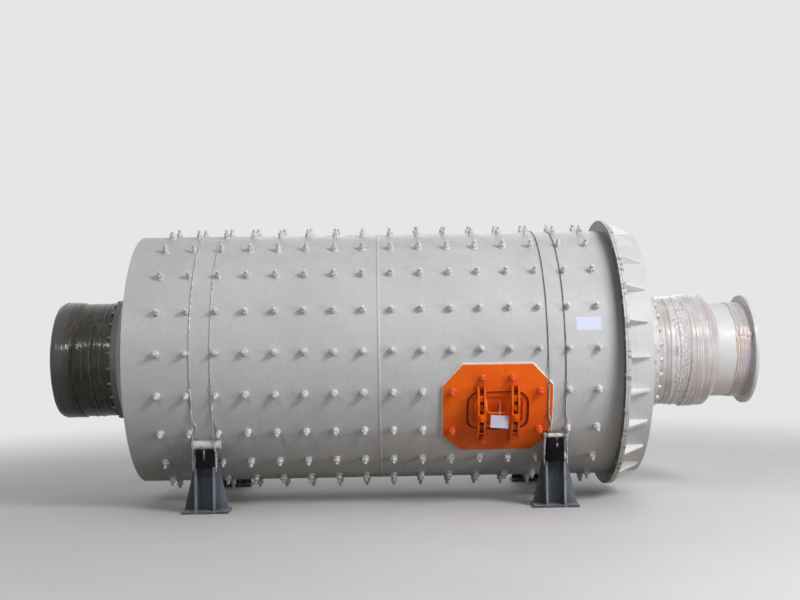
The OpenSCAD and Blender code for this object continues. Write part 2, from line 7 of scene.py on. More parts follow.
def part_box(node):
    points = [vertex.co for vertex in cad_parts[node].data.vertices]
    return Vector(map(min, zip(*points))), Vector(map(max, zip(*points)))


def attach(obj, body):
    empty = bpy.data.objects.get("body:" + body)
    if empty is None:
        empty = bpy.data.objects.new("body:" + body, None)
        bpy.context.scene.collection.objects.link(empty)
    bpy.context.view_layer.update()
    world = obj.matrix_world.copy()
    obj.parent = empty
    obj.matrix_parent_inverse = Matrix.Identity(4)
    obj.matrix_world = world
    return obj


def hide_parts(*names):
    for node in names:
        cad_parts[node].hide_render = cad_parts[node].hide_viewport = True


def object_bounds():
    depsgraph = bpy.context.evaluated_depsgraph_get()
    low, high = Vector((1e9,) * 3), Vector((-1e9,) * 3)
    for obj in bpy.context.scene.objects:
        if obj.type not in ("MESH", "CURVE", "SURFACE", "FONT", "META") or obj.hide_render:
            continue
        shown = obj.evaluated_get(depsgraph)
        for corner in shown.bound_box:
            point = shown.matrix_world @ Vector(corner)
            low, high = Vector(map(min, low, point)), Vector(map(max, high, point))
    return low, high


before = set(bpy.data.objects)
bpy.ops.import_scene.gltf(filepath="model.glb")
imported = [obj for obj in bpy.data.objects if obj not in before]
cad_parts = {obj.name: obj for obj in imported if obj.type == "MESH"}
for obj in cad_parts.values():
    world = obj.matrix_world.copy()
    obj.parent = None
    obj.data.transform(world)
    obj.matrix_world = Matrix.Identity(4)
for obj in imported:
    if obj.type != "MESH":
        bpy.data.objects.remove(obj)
cad_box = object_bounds()
scene = bpy.context.scene
scene.view_settings.view_transform = "Standard"


def lerp(a, b, share):
    return a + (b - a) * share


def facing_place(origin, across, up, out):
    """A place whose local X, Y and Z point along the three directions."""
    return Matrix.Translation(origin) @ Matrix((across, up, out)).transposed().to_4x4()


# Camera
CAMERA_PLACE = (-0.1825, -9.972, 1.468)
CAMERA_LENS = 50.3
YAW = radians(0.811)
PITCH = radians(1.485)
ROLL = radians(-0.965)
forward = Vector((sin(YAW) * cos(PITCH), cos(YAW) * cos(PITCH), sin(PITCH)))
right = Vector((cos(YAW), -sin(YAW), 0))
up = right.cross(forward)
right_rolled = right * cos(ROLL) + up * sin(ROLL)
up_rolled = up * cos(ROLL) - right * sin(ROLL)
data = bpy.data.cameras.new("photo_camera")
data.lens = CAMERA_LENS
data.sensor_width = 36
data.clip_end = 100
camera = bpy.data.objects.new("photo_camera", data)
scene.collection.objects.link(camera)
camera.matrix_world = facing_place(CAMERA_PLACE, right_rolled, up_rolled, -forward)
scene.camera = camera

# Places, from the frame
feed_lo, feed_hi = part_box("shell_feed_course")
hatch_lo, hatch_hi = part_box("manhole_frame")
SHELL_R = (feed_hi.z - feed_lo.z) / 2
AXIS_Z = (feed_hi.z + feed_lo.z) / 2
SHELL_X1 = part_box("shell_discharge_course")[1].x
SEAM_X = feed_hi.x
MANHOLE_X = (hatch_lo.x + hatch_hi.x) / 2
MANHOLE_ANGLE = radians(-24.2)
HATCH_Z = AXIS_Z + SHELL_R * sin(MANHOLE_ANGLE)
FRAME_T = 0.022
FRAME_R = SHELL_R + FRAME_T
FILM_SPAN = [corner.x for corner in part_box("feed_journal_wrap")]
FRONT = -1
REAR = 1


def on_mill(x, angle, r, side=FRONT):
    """A point about the mill axis; the angle is above the horizontal on the given side."""
    return Vector((x, side * r * cos(angle), AXIS_Z + r * sin(angle)))


def mill_place(x, angle, r):
    """Local Z points out of the shell, local X along the mill."""
    out = Vector((0, FRONT * cos(angle), sin(angle)))
    along = Vector((1, 0, 0))
    return facing_place(on_mill(x, angle, r), along, out.cross(along), out)


def end_place(x, angle, r, facing):
    """Local Z points along the mill, facing its +X or -X end."""
    out = Vector((facing, 0, 0))
    side = Vector((0, 1, 0))
    return facing_place(on_mill(x, angle, r), side, out.cross(side), out)


# Mesh building: a form is a list of points and a list of faces
def piece(name, forms, material, sharp=40, replaces=(), uvs=()):
    """One visible object made of closed forms."""
    verts = []
    faces = []
    for form_verts, form_faces in forms:
        faces += [[len(verts) + i for i in face] for face in form_faces]
        verts += [tuple(v) for v in form_verts]
    mesh = bpy.data.meshes.new(name)
    mesh.from_pydata(verts, [], faces)
    mesh.materials.append(material)
    if uvs:
        layer = mesh.uv_layers.new(name="wrap")
        for loop in mesh.loops:
            layer.data[loop.index].uv = uvs[loop.vertex_index]
    mesh.polygons.foreach_set("use_smooth", [True] * len(mesh.polygons))
    mesh.set_sharp_from_angle(angle=radians(sharp))
    mesh.validate()
    mesh.update()
    made = bpy.data.objects.new(name, mesh)
    scene.collection.objects.link(made)
    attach(made, "root")
    if replaces:
        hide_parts(*replaces)


def moved(form, place):
    return [place @ Vector(v) for v in form[0]], form[1]


def ring_faces(rings, steps, closed=False):
    """Faces between rings of points; closed joins the last ring to the first."""
    faces = []
    for k in range(rings if closed else rings - 1):
        a = k * steps
        b = (k + 1) % rings * steps
        for i in range(steps):
            j = (i + 1) % steps
            faces.append([a + i, a + j, b + j, b + i])
    return faces


def caps(count, steps):
    """The two end faces of a row of rings."""
    return [list(range(steps))[::-1], list(range(count - steps, count))]


def lathe(profile, steps):
    """Turns [radius, height] points about Z; both ends are closed."""
    angles = [tau * i / steps for i in range(steps)]
    verts = [(r * cos(a), r * sin(a), z) for r, z in profile for a in angles]
    return verts, ring_faces(len(profile), steps) + caps(len(verts), steps)


def square(normal, tangent):
    """The normal turned to stand square on a path."""
    return (normal - tangent * normal.dot(tangent)).normalized()


def beside(middle, tangent, normal, a, r):
    """A point at an angle and a distance from a path."""
    return middle + (normal * cos(a) + tangent.cross(normal) * sin(a)) * r


def tube(path, radius, sides=8, closed=False):
    """A round bar along a path; radius is a number or a list with one value per point."""
    path = [Vector(p) for p in path]
    radii = radius if isinstance(radius, list) else [radius] * len(path)
    ends = path[-1:] + path + path[:1] if closed else path[:1] + path + path[-1:]
    tangents = [(after - before).normalized() for before, after in zip(ends, ends[2:])]
    normal = tangents[0].orthogonal().normalized()
    verts = []
    for here, tangent, r in zip(path, tangents, radii):
        normal = square(normal, tangent)
        verts += [beside(here, tangent, normal, tau * j / sides, r) for j in range(sides)]
    return verts, ring_faces(len(path), sides, closed) + ([] if closed else caps(len(verts), sides))


def helix(path, offset, turns, phase, samples):
    """A path that winds round another one."""
    lengths = [0.0]
    for a, b in zip(path, path[1:]):
        lengths.append(lengths[-1] + (b - a).length)
    normal = (path[1] - path[0]).normalized().orthogonal().normalized()
    made = []
    k = 0
    for i in range(samples + 1):
        s = lengths[-1] * i / samples
        while k < len(path) - 2 and lengths[k + 1] < s:
            k += 1
        here = path[k].lerp(path[k + 1], (s - lengths[k]) / max(lengths[k + 1] - lengths[k], 1e-9))
        tangent = (path[k + 1] - path[k]).normalized()
        normal = square(normal, tangent)
        made.append(beside(here, tangent, normal, phase + tau * turns * i / samples, offset))
    return made


def sheet(across, up, point):
    """A thin sheet: point gives a place from the shares across and up, on its front (0) or back (1)."""
    row = across + 1
    back = row * (up + 1)
    verts = [point(i / across, k / up, side) for side in (0, 1) for k in range(up + 1) for i in range(row)]
    faces = []
    for k in range(up):
        for i in range(across):
            a = k * row + i
            faces.append([a, a + 1, a + row + 1, a + row])
            faces.append([back + a + row, back + a + row + 1, back + a + 1, back + a])
    rim = list(range(row)) + [k * row + across for k in range(1, up + 1)]
    rim += [up * row + i for i in range(across - 1, -1, -1)] + [k * row for k in range(up - 1, 0, -1)]
    faces += [[b, a, back + a, back + b] for a, b in zip(rim, rim[1:] + rim[:1])]
    return verts, faces


# Materials
class Value:
    """What a node gives out, with the sums that the materials need."""

    def __init__(self, graph, socket):
        self.graph = graph
        self.socket = socket

    def __mul__(self, other):
        return self.graph.math("MULTIPLY", self, other)

    def __add__(self, other):
        return self.graph.math("ADD", self, other)

    def __sub__(self, other):
        return self.graph.math("SUBTRACT", self, other)

    def __abs__(self):
        return self.graph.math("ABSOLUTE", self)

    def ramp(self, low, high, start=0, end=1):
        """Goes smoothly from start to end while the value goes from low to high."""
        sockets = {"Value": self, "From Min": low, "From Max": high, "To Min": start, "To Max": end}
        return self.graph.node("MapRange", "Result", sockets, interpolation_type="SMOOTHSTEP")

    def band(self, middle, half, soft):
        """1 near the middle of a range and 0 outside it."""
        return abs(self - middle).ramp(half, half + soft, 1, 0)

    def within(self, span, soft):
        return self.band((span[0] + span[1]) / 2, (span[1] - span[0]) / 2, soft)


class Graph:
    """Makes nodes in a tree; each gives one of its outputs as a value."""

    def __init__(self, tree):
        self.tree = tree

    def node(self, kind, output, sockets, **settings):
        made = self.tree.nodes.new("ShaderNode" + kind)
        for key, value in settings.items():
            setattr(made, key, value)
        for key, value in sockets.items():
            self.feed(made.inputs[key], value)
        return Value(self, made.outputs[output])

    def feed(self, target, value):
        if isinstance(value, Value):
            self.tree.links.new(value.socket, target)
        else:
            target.default_value = (*value, 1) if target.type == "RGBA" else value

    def math(self, operation, a, b=0):
        return self.node("Math", "Value", {0: a, 1: b}, operation=operation)

    def mix(self, share, a, b):
        return self.node("Mix", "Result", {"Factor": share, "A": a, "B": b}, data_type="RGBA")

    def seen(self):
        """1 for what the camera sees, straight or by way of gloss or glass."""
        straight, gloss, glass = [self.node("LightPath", f"Is {kind} Ray", {})
                                  for kind in ("Camera", "Glossy", "Transmission")]
        return self.math("MAXIMUM", self.math("MAXIMUM", straight, gloss), glass)


class Look(Graph):
    """A node material on the Principled shader, in the object's own coordinates, painted in layers."""

    def __init__(self, name, base, rough=0.5, metal=0, coat=0, coat_rough=0.1, specular=0.5):
        self.material = bpy.data.materials.new(name)
        self.material.use_nodes = True
        super().__init__(self.material.node_tree)
        self.shader = self.tree.nodes["Principled BSDF"]
        self.set("Roughness", rough)
        self.set("Metallic", metal)
        self.set("Coat Weight", coat)
        self.set("Coat Roughness", coat_rough)
        self.set("Specular IOR Level", specular)
        self.x, self.y, self.z = self.xyz("Object")
        self.nx, self.ny, self.nz = self.xyz("Normal")
        self.tone = base
        self.relief = {}

    def set(self, socket, value):
        self.feed(self.shader.inputs[socket], value)

    def xyz(self, space):
        place = self.node("TexCoord", space, {})
        return [self.node("SeparateXYZ", axis, {"Vector": place}) for axis in "XYZ"]

    def coords(self, stretch=(1, 1, 1), uv=False, shift=(0, 0, 0)):
        place = self.node("TexCoord", "UV" if uv else "Object", {})
        return self.node("Mapping", "Vector", {"Vector": place, "Scale": stretch, "Location": shift})

    def noise(self, scale, detail, rough=0.55, bend=0, **coords):
        return self.node("TexNoise", "Fac", {"Vector": self.coords(**coords), "Scale": scale,
                                             "Detail": detail, "Roughness": rough, "Distortion": bend})

    def patches(self, scale, detail, low, high, start=0, end=1, **noise):
        """Noise that goes smoothly from start to end between two of its values."""
        return self.noise(scale, detail, **noise).ramp(low, high, start, end)

    def over(self, share, color):
        """Lays a colour over the ones before it, where the share is 1."""
        self.tone = self.mix(share, self.tone, color)
        self.set("Base Color", self.tone)

    def patch(self, color, *noise, **coords):
        """Lays a colour over in patches."""
        self.over(self.patches(*noise, **coords), color)

    def dust(self, color, amount):
        """Dust on faces that look up, thinner and patchy elsewhere."""
        self.over(self.nz.ramp(0.35, 0.98, 0, amount) * self.patches(5, 6, 0.35, 0.75), color)

    def radius(self):
        """Distance from the mill axis."""
        up = self.z - AXIS_Z
        return self.math("SQRT", self.y * self.y + up * up)

    def outward(self):
        """How far a face looks away from the mill axis, from 0 to 1."""
        total = self.y * self.ny + (self.z - AXIS_Z) * self.nz
        return abs(self.math("DIVIDE", total, self.radius()))

    def crevice_shade(self, reach, low, high):
        """1 deep in corners and gaps, 0 on open faces; used to paint shade there."""
        return self.node("AmbientOcclusion", "AO", {"Distance": reach}, samples=8).ramp(low, high, 1, 0)

    def rough(self, *noise):
        self.set("Roughness", self.patches(*noise))

    def bump(self, height, strength, distance):
        """Adds relief to what is there."""
        sockets = {"Height": height, "Strength": strength, "Distance": distance, **self.relief}
        self.relief = {"Normal": self.node("Bump", "Normal", sockets)}
        self.set("Normal", self.relief["Normal"])


def shade(color, share):
    return tuple(channel * share for channel in color)


def mill_paint(name, dark, light, primer_and_shadow_at=None, painted_side_light=None):
    """Pale machine paint: broad tone changes, spray mottle, streaks that are stronger towards the bottom, and
    chips; near one end it can go to dark primer with a painted shadow of the flange, and faces turned from
    the axis can get painted light.
    """
    look = Look(name, dark, rough=0.42, specular=0.4)
    look.patch(light, 1.3, 3, 0.3, 0.7)
    look.patch(shade(dark, 0.87), 38, 5, 0.42, 0.72, 0, 0.35)
    # Darker streaks, stronger towards the bottom.
    low_streaks = look.patches(9, 5, 0.52, 0.78, rough=0.6, stretch=(4.5, 0.35, 0.35))
    look.over(low_streaks * look.z.ramp(0.2, 1.5, 0.42, 0.1), (0.36, 0.345, 0.3))
    specks = look.node("TexVoronoi", "Distance", {"Vector": look.coords(shift=(3, 1, 2)), "Scale": 16})
    chips = specks.ramp(0.035, 0.06, 0.7, 0) * look.patches(2.2, 2, 0.5, 0.62, shift=(5, 2, 7))
    look.over(chips, (0.22, 0.19, 0.16))
    if primer_and_shadow_at:
        # Towards the flange end the paint goes to dark primer with a painted shadow of the flange, stronger
        # higher up.
        ragged = look.x + look.noise(5, 4, shift=(1, 8, 3)) * 0.03
        fade = ragged.ramp(primer_and_shadow_at - 0.13, primer_and_shadow_at - 0.01)
        look.over(fade * look.z.ramp(0.75, 1.9, 0.2, 0.78), (0.13, 0.14, 0.13))
        hatch = look.x.band(MANHOLE_X, 0.33, 0.01) * look.z.band(HATCH_Z, 0.25, 0.01)
        outer = look.radius().ramp(SHELL_R - 0.021, SHELL_R - 0.018) * look.y.ramp(-0.1, 0.1, 1, 0)
        look.over(hatch * outer, (0.6, 0.07, 0.008))
    if painted_side_light:
        # Painted light: faces that turn away from the axis, such as the rib sides, are paler.
        look.over(look.outward().ramp(0.3, 0.6, 0.8, 0), painted_side_light)
    look.dust((0.45, 0.43, 0.39), 0.35)
    look.rough(24, 4, 0.3, 0.75, 0.34, 0.52)
    look.bump(look.noise(210, 2), 0.1, 0.0006)
    look.bump(look.noise(3.2, 2), 0.12, 0.006)
    return look.material


def flange_paint():
    """Dark primer with painted shade on the shell side of the flange, chipped white paint on its rim and far
    side.
    """
    look = Look("gear_flange_paint", (0.66, 0.66, 0.63), rough=0.5)
    look.patch((0.55, 0.56, 0.55), 22, 5, 0.4, 0.72)
    marks = look.patches(19, 6, 0.52, 0.6, rough=0.7, stretch=(0.4, 1, 1))
    look.over(marks * 0.85, (0.2, 0.24, 0.26))
    look.over(look.x.band(SHELL_X1 + 0.017, 0.0012, 0.0012) * 0.8, (0.1, 0.1, 0.1))
    # The face towards the feed end: dark primer, made darker as painted shade, with paler overspray near the
    # shell.
    primer = look.mix(look.patches(11, 5, 0.35, 0.7), (0.085, 0.095, 0.087), (0.15, 0.16, 0.148))
    overspray = (look.radius() + look.noise(7, 4) * 0.05).ramp(SHELL_R + 0.02, SHELL_R + 0.06, 1, 0)
    look.over(look.nx.ramp(-0.9, -0.5, 1, 0), look.mix(overspray * 0.4, primer, (0.3, 0.305, 0.29)))
    look.set("Roughness", marks.ramp(0, 1, 0.42, 0.62))
    look.bump(look.noise(120, 3), 0.15, 0.0008)
    return look.material


def trunnion_metal():
    """Bare turned metal with patches of grease."""
    look = Look("trunnion_metal", (0.24, 0.235, 0.225), rough=0.4)
    look.patch((0.38, 0.375, 0.36), 6, 5, 0.3, 0.75)
    look.patch((0.11, 0.1, 0.065), 3.5, 4, 0.46, 0.6, shift=(2, 0, 4))
    look.rough(14, 4, 0.3, 0.7, 0.28, 0.5)
    turned = look.node("TexWave", "Fac", {"Vector": look.coords(), "Scale": 120, "Distortion": 1.2})
    look.bump(turned, 0.12, 0.0006)
    return look.material


def greasy_paint(name, dark, light):
    """Painted flange, greasy towards the journal, with grime and rubbed spots on its rim."""
    look = Look(name, dark, rough=0.45)
    look.patch(light, 9, 4, 0.35, 0.7)
    look.over((look.radius() + look.noise(8, 5) * 0.04).ramp(0.505, 0.53, 0.75, 0), shade(dark, 0.45))
    look.patch((0.06, 0.058, 0.055), 24, 6, 0.52, 0.7, 0, 0.6, rough=0.7)
    look.rough(14, 4, 0.3, 0.7, 0.35, 0.6)
    look.bump(look.noise(90, 3), 0.2, 0.0008)
    return look.material


def orange_paint(name, edge=False):
    """Orange gloss paint with darker patches of grime, painted shade in corners and gaps, and a pale primer
    line along cut edges.
    """
    look = Look(name, (0.9, 0.125, 0.004), rough=0.34, coat=0.05, coat_rough=0.12, specular=0.22)
    look.patch((0.98, 0.165, 0.006), 4, 4, 0.3, 0.72)
    look.patch((0.42, 0.05, 0.006), 11, 6, 0.55, 0.8, 0, 0.55, rough=0.65, stretch=(1, 1, 0.5))
    look.patch((0.9, 0.32, 0.14), 60, 3, 0.68, 0.76, 0, 0.5, rough=0.7, stretch=(1, 1, 0.2))
    if edge:
        cut = look.outward().ramp(0.3, 0.5, 1, 0)
        look.over(cut * look.patches(26, 4, 0.3, 0.5, 0.25, 0.9), (0.72, 0.5, 0.42))
    # Painted shade in corners and gaps.
    look.over(look.crevice_shade(0.07, 0.2, 0.75) * 0.8, (0.17, 0.014, 0.003))
    look.rough(18, 4, 0.3, 0.7, 0.24, 0.42)
    look.bump(look.noise(150, 2), 0.14, 0.0007)
    look.bump(look.noise(9, 3), 0.15, 0.003)
    return look.material


def stand_paint(name, x_middle):
    """Slate blue brushed paint with dust on ledges, scratches and worn, rusty edges; painted light on the
    flange ends and right gussets, painted shade on the left gussets and in corners.
    """
    look = Look(name, (0.068, 0.084, 0.108), rough=0.42, coat=0.05, coat_rough=0.25, specular=0.35)
    away = look.x - x_middle
    look.patch((0.118, 0.142, 0.178), 6, 4, 0.3, 0.7)
    brushed = look.noise(30, 4, 0.6, stretch=(3, 3, 0.25))
    look.over(brushed.ramp(0.4, 0.75, 0, 0.5), (0.165, 0.195, 0.235))
    scratches = look.patches(44, 5, 0.67, 0.72, 0, 0.8, rough=0.75, stretch=(0.5, 0.5, 2.5), bend=1.5)
    look.over(scratches, (0.33, 0.34, 0.35))
    base_rim = look.z.band(0.021, 0.002, 0.003) * look.patches(22, 5, 0.3, 0.55)
    look.over(base_rim * 0.7, (0.36, 0.37, 0.37))
    # The front ends of the flanges are paler, more on the right: rubbed paint with a painted highlight.
    flange_ends = abs(away).band(0.074, 0.011, 0.001) * abs(look.ny).ramp(0.8, 0.95)
    rubbed = look.patches(16, 4, 0.3, 0.55, 0.35, 1.0, shift=(2, 2, 6)) * away.ramp(-0.01, 0.01, 0.4, 0.6)
    look.over(flange_ends * rubbed, (0.4, 0.41, 0.42))
    rust = look.patches(17, 6, 0.56, 0.68, rough=0.7, shift=(4, 4, 1))
    look.over(rust * (look.z.ramp(0.02, 0.12, 1, 0) * 0.6 + 0.15), (0.17, 0.075, 0.035))
    # Painted shade on the left gussets and painted light on the right gussets.
    upright = look.z.ramp(0.023, 0.026)
    look.over(away.ramp(-0.095, -0.086, 0.6, 0) * upright, (0.03, 0.036, 0.046))
    lit_side_speckle = look.patches(30, 5, 0.35, 0.65, 0.5, 1.0, rough=0.7, shift=(6, 1, 3))
    look.over(away.ramp(0.086, 0.095, 0, 0.55) * upright * lit_side_speckle, (0.27, 0.315, 0.38))
    look.dust((0.42, 0.39, 0.34), 0.75)
    # Painted shade in corners, on the web between the flanges and under the saddle.
    look.over(look.crevice_shade(0.12, 0.3, 0.85) * 0.6, (0.03, 0.035, 0.042))
    look.rough(20, 4, 0.3, 0.7, 0.34, 0.58)
    look.bump(brushed, 0.18, 0.0012)
    return look.material


def saddle_block(name, x_middle, z_top):
    """Black rubber faced block with a pale run of paint down the middle and dusty arrises."""
    look = Look(name, (0.004, 0.004, 0.006), rough=0.6, specular=0.07)
    look.patch((0.01, 0.01, 0.014), 9, 5, 0.35, 0.7)
    wander = (look.noise(7, 3, stretch=(0.1, 0.1, 1)) - 0.5) * 0.03
    run = (look.x + wander).band(x_middle + 0.006, 0.003, 0.007)
    run *= look.patches(26, 5, 0.35, 0.6, stretch=(1, 1, 0.6))
    look.over(run * (look.z + wander).ramp(z_top - 0.085, z_top - 0.045), (0.62, 0.62, 0.6))
    smears = look.patches(12, 6, 0.66, 0.8, 0, 0.25, rough=0.7, stretch=(1, 1, 0.4), shift=(1, 5, 2))
    look.over(smears, (0.06, 0.058, 0.055))
    look.dust((0.16, 0.15, 0.135), 0.3)
    look.rough(20, 4, 0.3, 0.7, 0.45, 0.7)
    look.bump(look.noise(70, 3), 0.2, 0.001)
    return look.material


def bolt_paint(name, light, dark, grime_and_shade=(0.14, 0.13, 0.12)):
    """Brush paint on hardware, thin on corners, with grime, and painted shade in the joints."""
    look = Look(name, light, rough=0.4, coat=0.15, coat_rough=0.2)
    look.patch(dark, 45, 4, 0.35, 0.7)
    look.patch(grime_and_shade, 70, 5, 0.54, 0.68, 0, 0.6, rough=0.7)
    # Painted shade in the joints and where the bolt meets the surface.
    look.over(look.crevice_shade(0.02, 0.3, 0.75) * 0.8, grime_and_shade)
    look.rough(60, 3, 0.3, 0.7, 0.3, 0.55)
    look.bump(look.noise(260, 2), 0.2, 0.0006)
    return look.material


def bar_paint():
    """White overspray on rolled round bar, with scale showing through."""
    look = Look("tie_bar_paint", (0.62, 0.62, 0.6), rough=0.5)
    look.patch((0.7, 0.7, 0.67), 20, 4, 0.3, 0.7)
    scale = look.patches(34, 6, 0.55, 0.68, 0, 0.8, rough=0.7, stretch=(0.5, 1, 1))
    look.over(scale, (0.16, 0.14, 0.12))
    look.set("Roughness", scale.ramp(0, 1, 0.42, 0.7))
    look.bump(look.noise(85, 4), 0.2, 0.001)
    return look.material


def wire_steel(name, light, dark, metal):
    """Dull drawn wire, partly painted over and rubbed bright."""
    look = Look(name, dark, rough=0.42, metal=metal)
    look.patch(light, 26, 5, 0.38, 0.66, rough=0.65)
    look.rough(70, 3, 0.3, 0.7, 0.3, 0.55)
    look.bump(look.noise(320, 2, stretch=(1, 0.3, 0.3)), 0.25, 0.0005)
    return look.material


def greased_film():
    """Clear film wound tight over dark olive grease: trapped air, creases, wet highlights and a faint painted
    sheen along the top.
    """
    look = Look("greased_film", (0.012, 0.011, 0.008), rough=0.34, coat=0.55, coat_rough=0.12, specular=0.2)
    look.patch((0.05, 0.039, 0.012), 2.6, 4, 0.35, 0.68, rough=0.6, stretch=(1, 0.7, 1), uv=True)
    blotches = look.patches(6, 4, 0.48, 0.66, rough=0.6, stretch=(0.7, 1.6, 1), uv=True, shift=(3, 1, 0))
    look.over(blotches * 0.7, (0.085, 0.062, 0.016))
    layers = look.noise(7, 5, 0.6, stretch=(0.1, 3.0, 1), uv=True, bend=0.3)
    look.over(layers.ramp(0.46, 0.8, 0, 0.5), (0.1, 0.095, 0.088))
    threads = look.noise(30, 4, 0.65, stretch=(0.03, 2.4, 1), uv=True, bend=0.2)
    look.over(threads.ramp(0.64, 0.74, 0, 0.35), (0.17, 0.165, 0.16))
    drifting = look.x + (look.noise(2.2, 3, uv=True, stretch=(1, 0.1, 1)) - 0.5) * 0.07
    gaps = look.patches(5, 3, 0.38, 0.55, uv=True, shift=(7, 2, 0))
    for share in (0.2, 0.34, 0.52, 0.66, 0.82):
        lap = drifting.band(lerp(*FILM_SPAN, share), 0.0012, 0.0022)
        look.over(lap * gaps * 0.7, (0.24, 0.235, 0.22))
    look.over(look.x.ramp(cad_box[0].x + 0.05, cad_box[0].x + 0.19, 0.72, 0), (0.128, 0.122, 0.138))
    # Painted sheen: paler along the top.
    look.over(look.z.ramp(AXIS_Z + 0.3, AXIS_Z + 0.47, 0, 0.04), (0.15, 0.14, 0.135))
    look.set("Roughness", layers.ramp(0.35, 0.75, 0.22, 0.48))
    look.bump(threads, 0.25, 0.0016)
    look.bump(look.noise(13, 4, 0.6, stretch=(0.4, 1.6, 1), uv=True, bend=0.8), 0.6, 0.008)
    return look.material


def clear_film(name, crinkled, wound, stain_and_low_shade=False):
    """Milky film in many turns, pink and lilac where it is thick, with fine edges where it overlaps; painted
    glints along its crinkles, and optionally a brown patch with painted shade towards the bottom.
    """
    look = Look(name, (0.46, 0.408, 0.385), rough=0.36, coat=0.45, coat_rough=0.14)
    look.patch((0.58, 0.552, 0.562), 2.4, 4, 0.36, 0.66, rough=0.6, stretch=(1, 1.5, 1), uv=True)
    lilac = look.patches(3.4, 3, 0.46, 0.6, rough=0.5, stretch=(0.25, 2.6, 1), uv=True, shift=(2, 6, 0))
    if crinkled:
        lilac *= look.x.within(crinkled, 0.05) * 0.85 + 0.15
    look.over(lilac * 0.85, (0.5, 0.475, 0.62))
    layers = look.noise(11, 4, 0.6, stretch=(0.06, 2.8, 1), uv=True, bend=0.25)
    look.over(layers.ramp(0.46, 0.74, 0, 0.45), (0.7, 0.69, 0.68))
    lines = look.patches(34, 4, 0.52, 0.66, rough=0.65, stretch=(0.025, 2.4, 1), uv=True)
    look.over(lines * (look.x.within(wound, 0.02) * 0.34 + 0.03), (0.3, 0.27, 0.26))
    height = layers * 0.6
    if crinkled:
        slanted = look.xyz("UV")[0] + abs(look.x - (crinkled[0] + crinkled[1]) / 2) * 2.2
        herringbone = look.node("CombineXYZ", "Vector", {"X": slanted, "Y": look.x * 0.4})
        crinkle = look.node("TexNoise", "Fac", {"Vector": herringbone, "Scale": 44, "Detail": 3})
        zone = look.x.within(crinkled, 0.03)
        look.over(crinkle.ramp(0.42, 0.34) * (zone * 0.75), (0.36, 0.33, 0.42))
        # Painted highlights: glints along the crinkles.
        glint = abs(crinkle - 0.52).ramp(0.01, 0.035, 1, 0) * zone
        look.over(glint * 0.9, (0.97, 0.97, 0.98))
        height += crinkle * zone
    if stain_and_low_shade:
        brown = look.z.band(AXIS_Z + 0.03, 0.04, 0.1) * look.y.ramp(-0.3, -0.1, 1, 0)
        look.over(brown * look.patches(14, 4, 0.35, 0.6, 0.3, 1) * 0.5, (0.6, 0.38, 0.26))
        # Darker and browner towards the bottom: painted shade with a warm reflected tint.
        look.over(look.z.ramp(AXIS_Z - 0.1, AXIS_Z - 0.4, 0, 0.55), (0.42, 0.31, 0.26))
    look.set("Roughness", layers.ramp(0.35, 0.75, 0.26, 0.5))
    look.bump(height, 0.7, 0.006)
    look.bump(lines, 0.3, 0.0015)
    return look.material


def torn_film():
    """Gathered film, thick and pink in its pleats."""
    look = Look("torn_film", (0.68, 0.54, 0.51), rough=0.36, coat=0.4, coat_rough=0.14)
    pleats = look.noise(26, 4, 0.6, stretch=(1.5, 0.4, 0.4), bend=0.6)
    look.over(pleats.ramp(0.38, 0.62), (0.86, 0.81, 0.82))
    look.bump(pleats, 0.6, 0.004)
    return look.material


def paper(name, tone):
    """Blank white sheet with faint fibres and a soft darker patch painted as the shade of a crease."""
    look = Look(name, shade((0.72, 0.755, 0.92), tone), rough=0.75)
    look.patch(shade((0.77, 0.8, 0.97), tone), 160, 4, 0.35, 0.7)
    # Painted shade of a soft crease.
    look.patch(shade((0.62, 0.62, 0.72), tone), 12, 3, 0.5, 0.75, 0, 0.3)
    look.bump(look.noise(40, 3), 0.2, 0.001)
    return look.material


BACKDROP = (0.78, 0.79, 0.8)


def shop_floor():
    """Pale floor that fades into the backdrop far away, and lights the object as a warm shop floor."""
    look = Look("floor", (0.18, 0.153, 0.121), rough=0.6)
    look.over(look.x.ramp(1.2, 3.2), (0.4, 0.335, 0.28))
    seen = look.seen()
    look.over(seen, look.mix(look.patches(0.7, 4, 0.3, 0.7), (0.72, 0.72, 0.72), (0.75, 0.75, 0.75)))
    away = look.math("SQRT", look.x * look.x + look.y * look.y)
    painted = Value(look, look.shader.outputs["BSDF"])
    glow = look.node("Emission", "Emission", {"Color": BACKDROP})
    blend = look.node("MixShader", "Shader", {0: away.ramp(3.6, 9.5) * seen, 1: painted, 2: glow})
    look.feed(look.tree.nodes["Material Output"].inputs["Surface"], blend)
    return look.material


SHELL_TONES = ((0.575, 0.58, 0.588), (0.64, 0.645, 0.655))
END_TONES = ((0.635, 0.639, 0.655), (0.69, 0.694, 0.712))
SHELL_PAINT = mill_paint("mill_paint", *SHELL_TONES)
END_PAINT = mill_paint("discharge_end_paint", *END_TONES)
ORANGE = orange_paint("manhole_paint")
TRUNNION = trunnion_metal()
BAR = bar_paint()
BOLT_WHITE = bolt_paint("liner_bolt_paint", (0.79, 0.793, 0.797), (0.57, 0.575, 0.582), (0.12, 0.12, 0.12))
BOLT_ORANGE = bolt_paint("frame_bolt_paint", (0.93, 0.13, 0.01), (0.72, 0.085, 0.006), (0.2, 0.02, 0.004))
